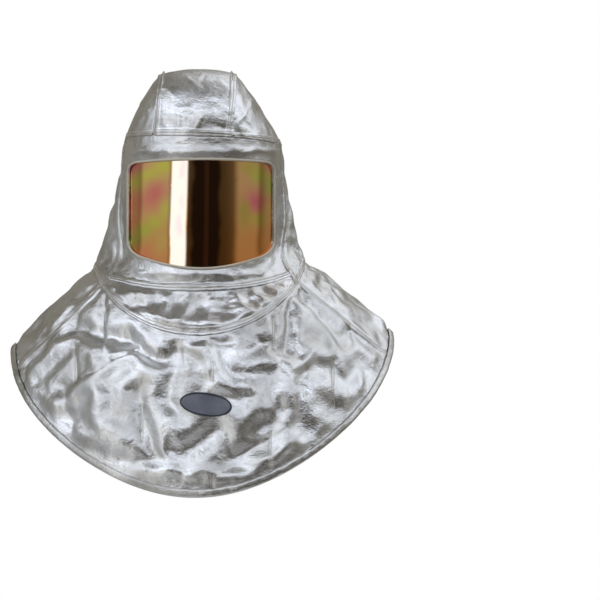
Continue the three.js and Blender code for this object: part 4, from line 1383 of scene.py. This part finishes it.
# Whipping over both edges of the tape
tapeWay = unit(hemCloth[:, 1] - hemCloth[:, 11])
outerLine, innerLine = hemCloth[:, 1] + tapeWay * 0.25, hemCloth[:, 11] - tapeWay * 0.25
down = unit(hemCloth[:, 4] - hemCloth[:, 1])
overlock = grown(
    "overlock stitches", [outerLine + down * 0.8, innerLine + down * 0.8], stitching,
    {**stitchSizes, "Pitch": 0.0024, "Length": 0.0034, "Slant": 1.1, "Thread": overlockThread},
    closed=True, facing=[tapeWay, -tapeWay])
print("hem bound", len(overlock.data.polygons))

patch = dict(halfWidth=37, halfHeight=16.5, x=7, z=-488, turn=-7.5, thick=1.0, proud=1.25, around=120,
             rings=26)


def makePatch():
    t = np.linspace(0, 2 * math.pi, patch["around"], endpoint=False)
    turn = math.radians(patch["turn"])
    a, b = patch["halfWidth"] * np.cos(t), patch["halfHeight"] * np.sin(t)
    rim = np.stack([patch["x"] + a * math.cos(turn) - b * math.sin(turn),
                    patch["z"] + a * math.sin(turn) + b * math.cos(turn)], -1)
    rings = np.linspace(0.03, 1, patch["rings"])[None, :, None]
    place = lerp(np.array([patch["x"], patch["z"]]), rim[:, None], rings)
    cloth = panels["bib panel"]
    flat, high = cloth["p"].reshape(-1, 3), cloth["n"].reshape(-1, 3)
    front = flat[:, 1] < 0
    flat, high = flat[front], high[front]
    found = []
    for q in place.reshape(-1, 2):
        near, share = nearestOf(np.hypot(flat[:, 0] - q[0], flat[:, 2] - q[1]), 5, 0.3)
        n = unit((high[near] * share[:, None]).sum(0))
        found.append(np.array([q[0], (flat[near, 1] * share).sum(), q[1]]) + n * patch["proud"])
    p = np.array(found).reshape(*place.shape[:2], 3)
    piece = gridMesh("oval patch", p, patchTwill, closed=True, thick=patch["thick"])
    closeMiddle(piece, patch["around"], patch["rings"])
    return piece, p


patchPiece, patchGrid = makePatch()
rimWay = unit(patchGrid[:, -1] - patchGrid[:, -3])
facing = np.repeat(unit(normalsOf(patchGrid, closed=True)[:, -1].mean(0))[None], patch["around"], 0)
edgingSizes = {**stitchSizes, "Pitch": 0.0009, "Length": 0.0024, "Thickness": 0.0008, "Slant": 1.45,
               "Thread": patchThread}
patchEdging = grown(
    "patch edging", [patchGrid[:, -1] - rimWay * 0.9, patchGrid[:, -1] - rimWay * 1.9], stitching,
    edgingSizes, closed=True, facing=[facing, facing])
print("patch sewn on")


# Each piece's body, and the node of the frame that it stands for, which is hidden
def stands(piece, node):
    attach(piece, "root")
    if node:
        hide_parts(node)


for name in (
        "crown strip", "crown side left", "crown side right", "chin panel", "head side left",
        "head side right", "head back", "bib panel", "skirt back", "shoulder left", "shoulder right"):
    stands(panels[name]["piece"], "bib" if name == "bib panel" else name.replace(" ", "_"))
    flat, area = cutOf(panels[name]["p"])
face = panels["face panel"]
stands(face["piece"], "face_panel")
areaOf(face["p"], True) * 1e-6
for piece, node, cloth, closed in (
        (crownLining, "crown_lining", crownLiningCloth, False),
        (headLining, "head_lining", headLiningCloth, True),
        (skirtLining, "skirt_lining", skirtLiningCloth, True)):
    stands(piece, node)
    flat, area = cutOf(cloth, closed)
    area = min(area, sum(side.area for side in piece.data.polygons))
for piece, node, slot in (
        (pane, "window", "window"), (bead, "window_bead", "trim"), (hemTape, "hem_binding", "trim"),
        (patchPiece, "patch", "patch"), (patchEdging, None, "patch"), (seamStitches, None, "trim"),
        (quiltStitches, None, "trim"), (overlock, None, "trim")):
    stands(piece, node)

disc = dict(radius=0.85, z=-0.9, sides=64)
floorMesh = bpy.data.meshes.new("floor")
turns = np.linspace(0, 2 * math.pi, disc["sides"], endpoint=False)
rim = [(disc["radius"] * math.cos(t), disc["radius"] * math.sin(t), disc["z"]) for t in turns]
floorMesh.from_pydata(rim, [], [list(range(disc["sides"]))])
floorMesh.materials.append(paleFloor("pale floor"))
placed("floor", floorMesh)

# Softboxes by the direction that they stand in: azimuth from and to, height from and to in degrees, soft
# edge in degrees, brightness, tint
softboxes = [
    (-110, -48, -20, 28, 6, 0.43, (0.96, 0.98, 1.02)), (52, 100, -15, 24, 8, 0.32, (1.0, 0.97, 0.92)),
    (2, 7, -20, 24, 1, 0.13, (1.0, 0.7, 0.45)), (-95, 50, 28, 51, 5, 1.8, (0.91, 0.96, 1.07)),
    (-46, -19, -26, 26, 2.5, 1.15, (1.0, 1.0, 1.0)), (62, 125, 18, 62, 9, 1.2, (0.93, 0.97, 1.05)),
    (100, 260, 30, 70, 12, 1.1, (0.96, 0.98, 1.03))]
# Colours of the room by direction, and where each of them comes in: by degrees aside for the side, and by
# shares of the way back, down and up for the rest
room = dict(front=(0.052, 0.045, 0.034), side=(0.155, 0.138, 0.105), behind=(0.26, 0.245, 0.21),
            above=(0.19, 0.185, 0.175), below=(0.045, 0.038, 0.028), backdrop=(1.0, 1.0, 1.0),
            sideFrom=(26, 70), behindFrom=(0.2, 0.6), belowFrom=(-0.25, -0.6), aboveFrom=(0.75, 0.97))


def makeLight():
    world = bpy.data.worlds.new("studio")
    bpy.context.scene.world = world
    world.use_nodes = True
    tree = world.node_tree
    start = Wire(tree)
    x, y, z = start.node("ShaderNodeTexCoord", out="Generated").axes()
    height = z.math("ARCSINE") * (180 / math.pi)
    azimuth = x.math("ARCTAN2", -y) * (180 / math.pi)
    aside = azimuth.math("ABSOLUTE").ramp(*room["sideFrom"])
    color = y.ramp(*room["behindFrom"]).mix(aside.mix(room["front"], room["side"]), room["behind"])
    color = z.ramp(*room["belowFrom"]).mix(color, room["below"])
    color = z.ramp(*room["aboveFrom"]).mix(color, room["above"])
    for low, high, foot, top, edge, bright, tint in softboxes:
        share = azimuth.band(low, high, edge) * height.band(foot, top, edge)
        color = share.mix(color, tuple(bright * c for c in tint))
    seen = start.node("ShaderNodeLightPath", out="Is Camera Ray")
    start.feed(tree.nodes["Background"].inputs["Color"], seen.mix(color, room["backdrop"]))


makeLight()

view = dict(place=(0, -4, -0.32), lens=160, sensor=36, shift=(0.165, -0.0233))
lens = bpy.data.cameras.new("camera")
lens.lens, lens.sensor_width = view["lens"], view["sensor"]
lens.shift_x, lens.shift_y = view["shift"]
camera = placed("camera", lens)
camera.location, camera.rotation_euler = view["place"], (math.pi / 2, 0, 0)
bpy.context.scene.camera = camera
bpy.context.scene.view_settings.view_transform = "Standard"
print("light and camera set")
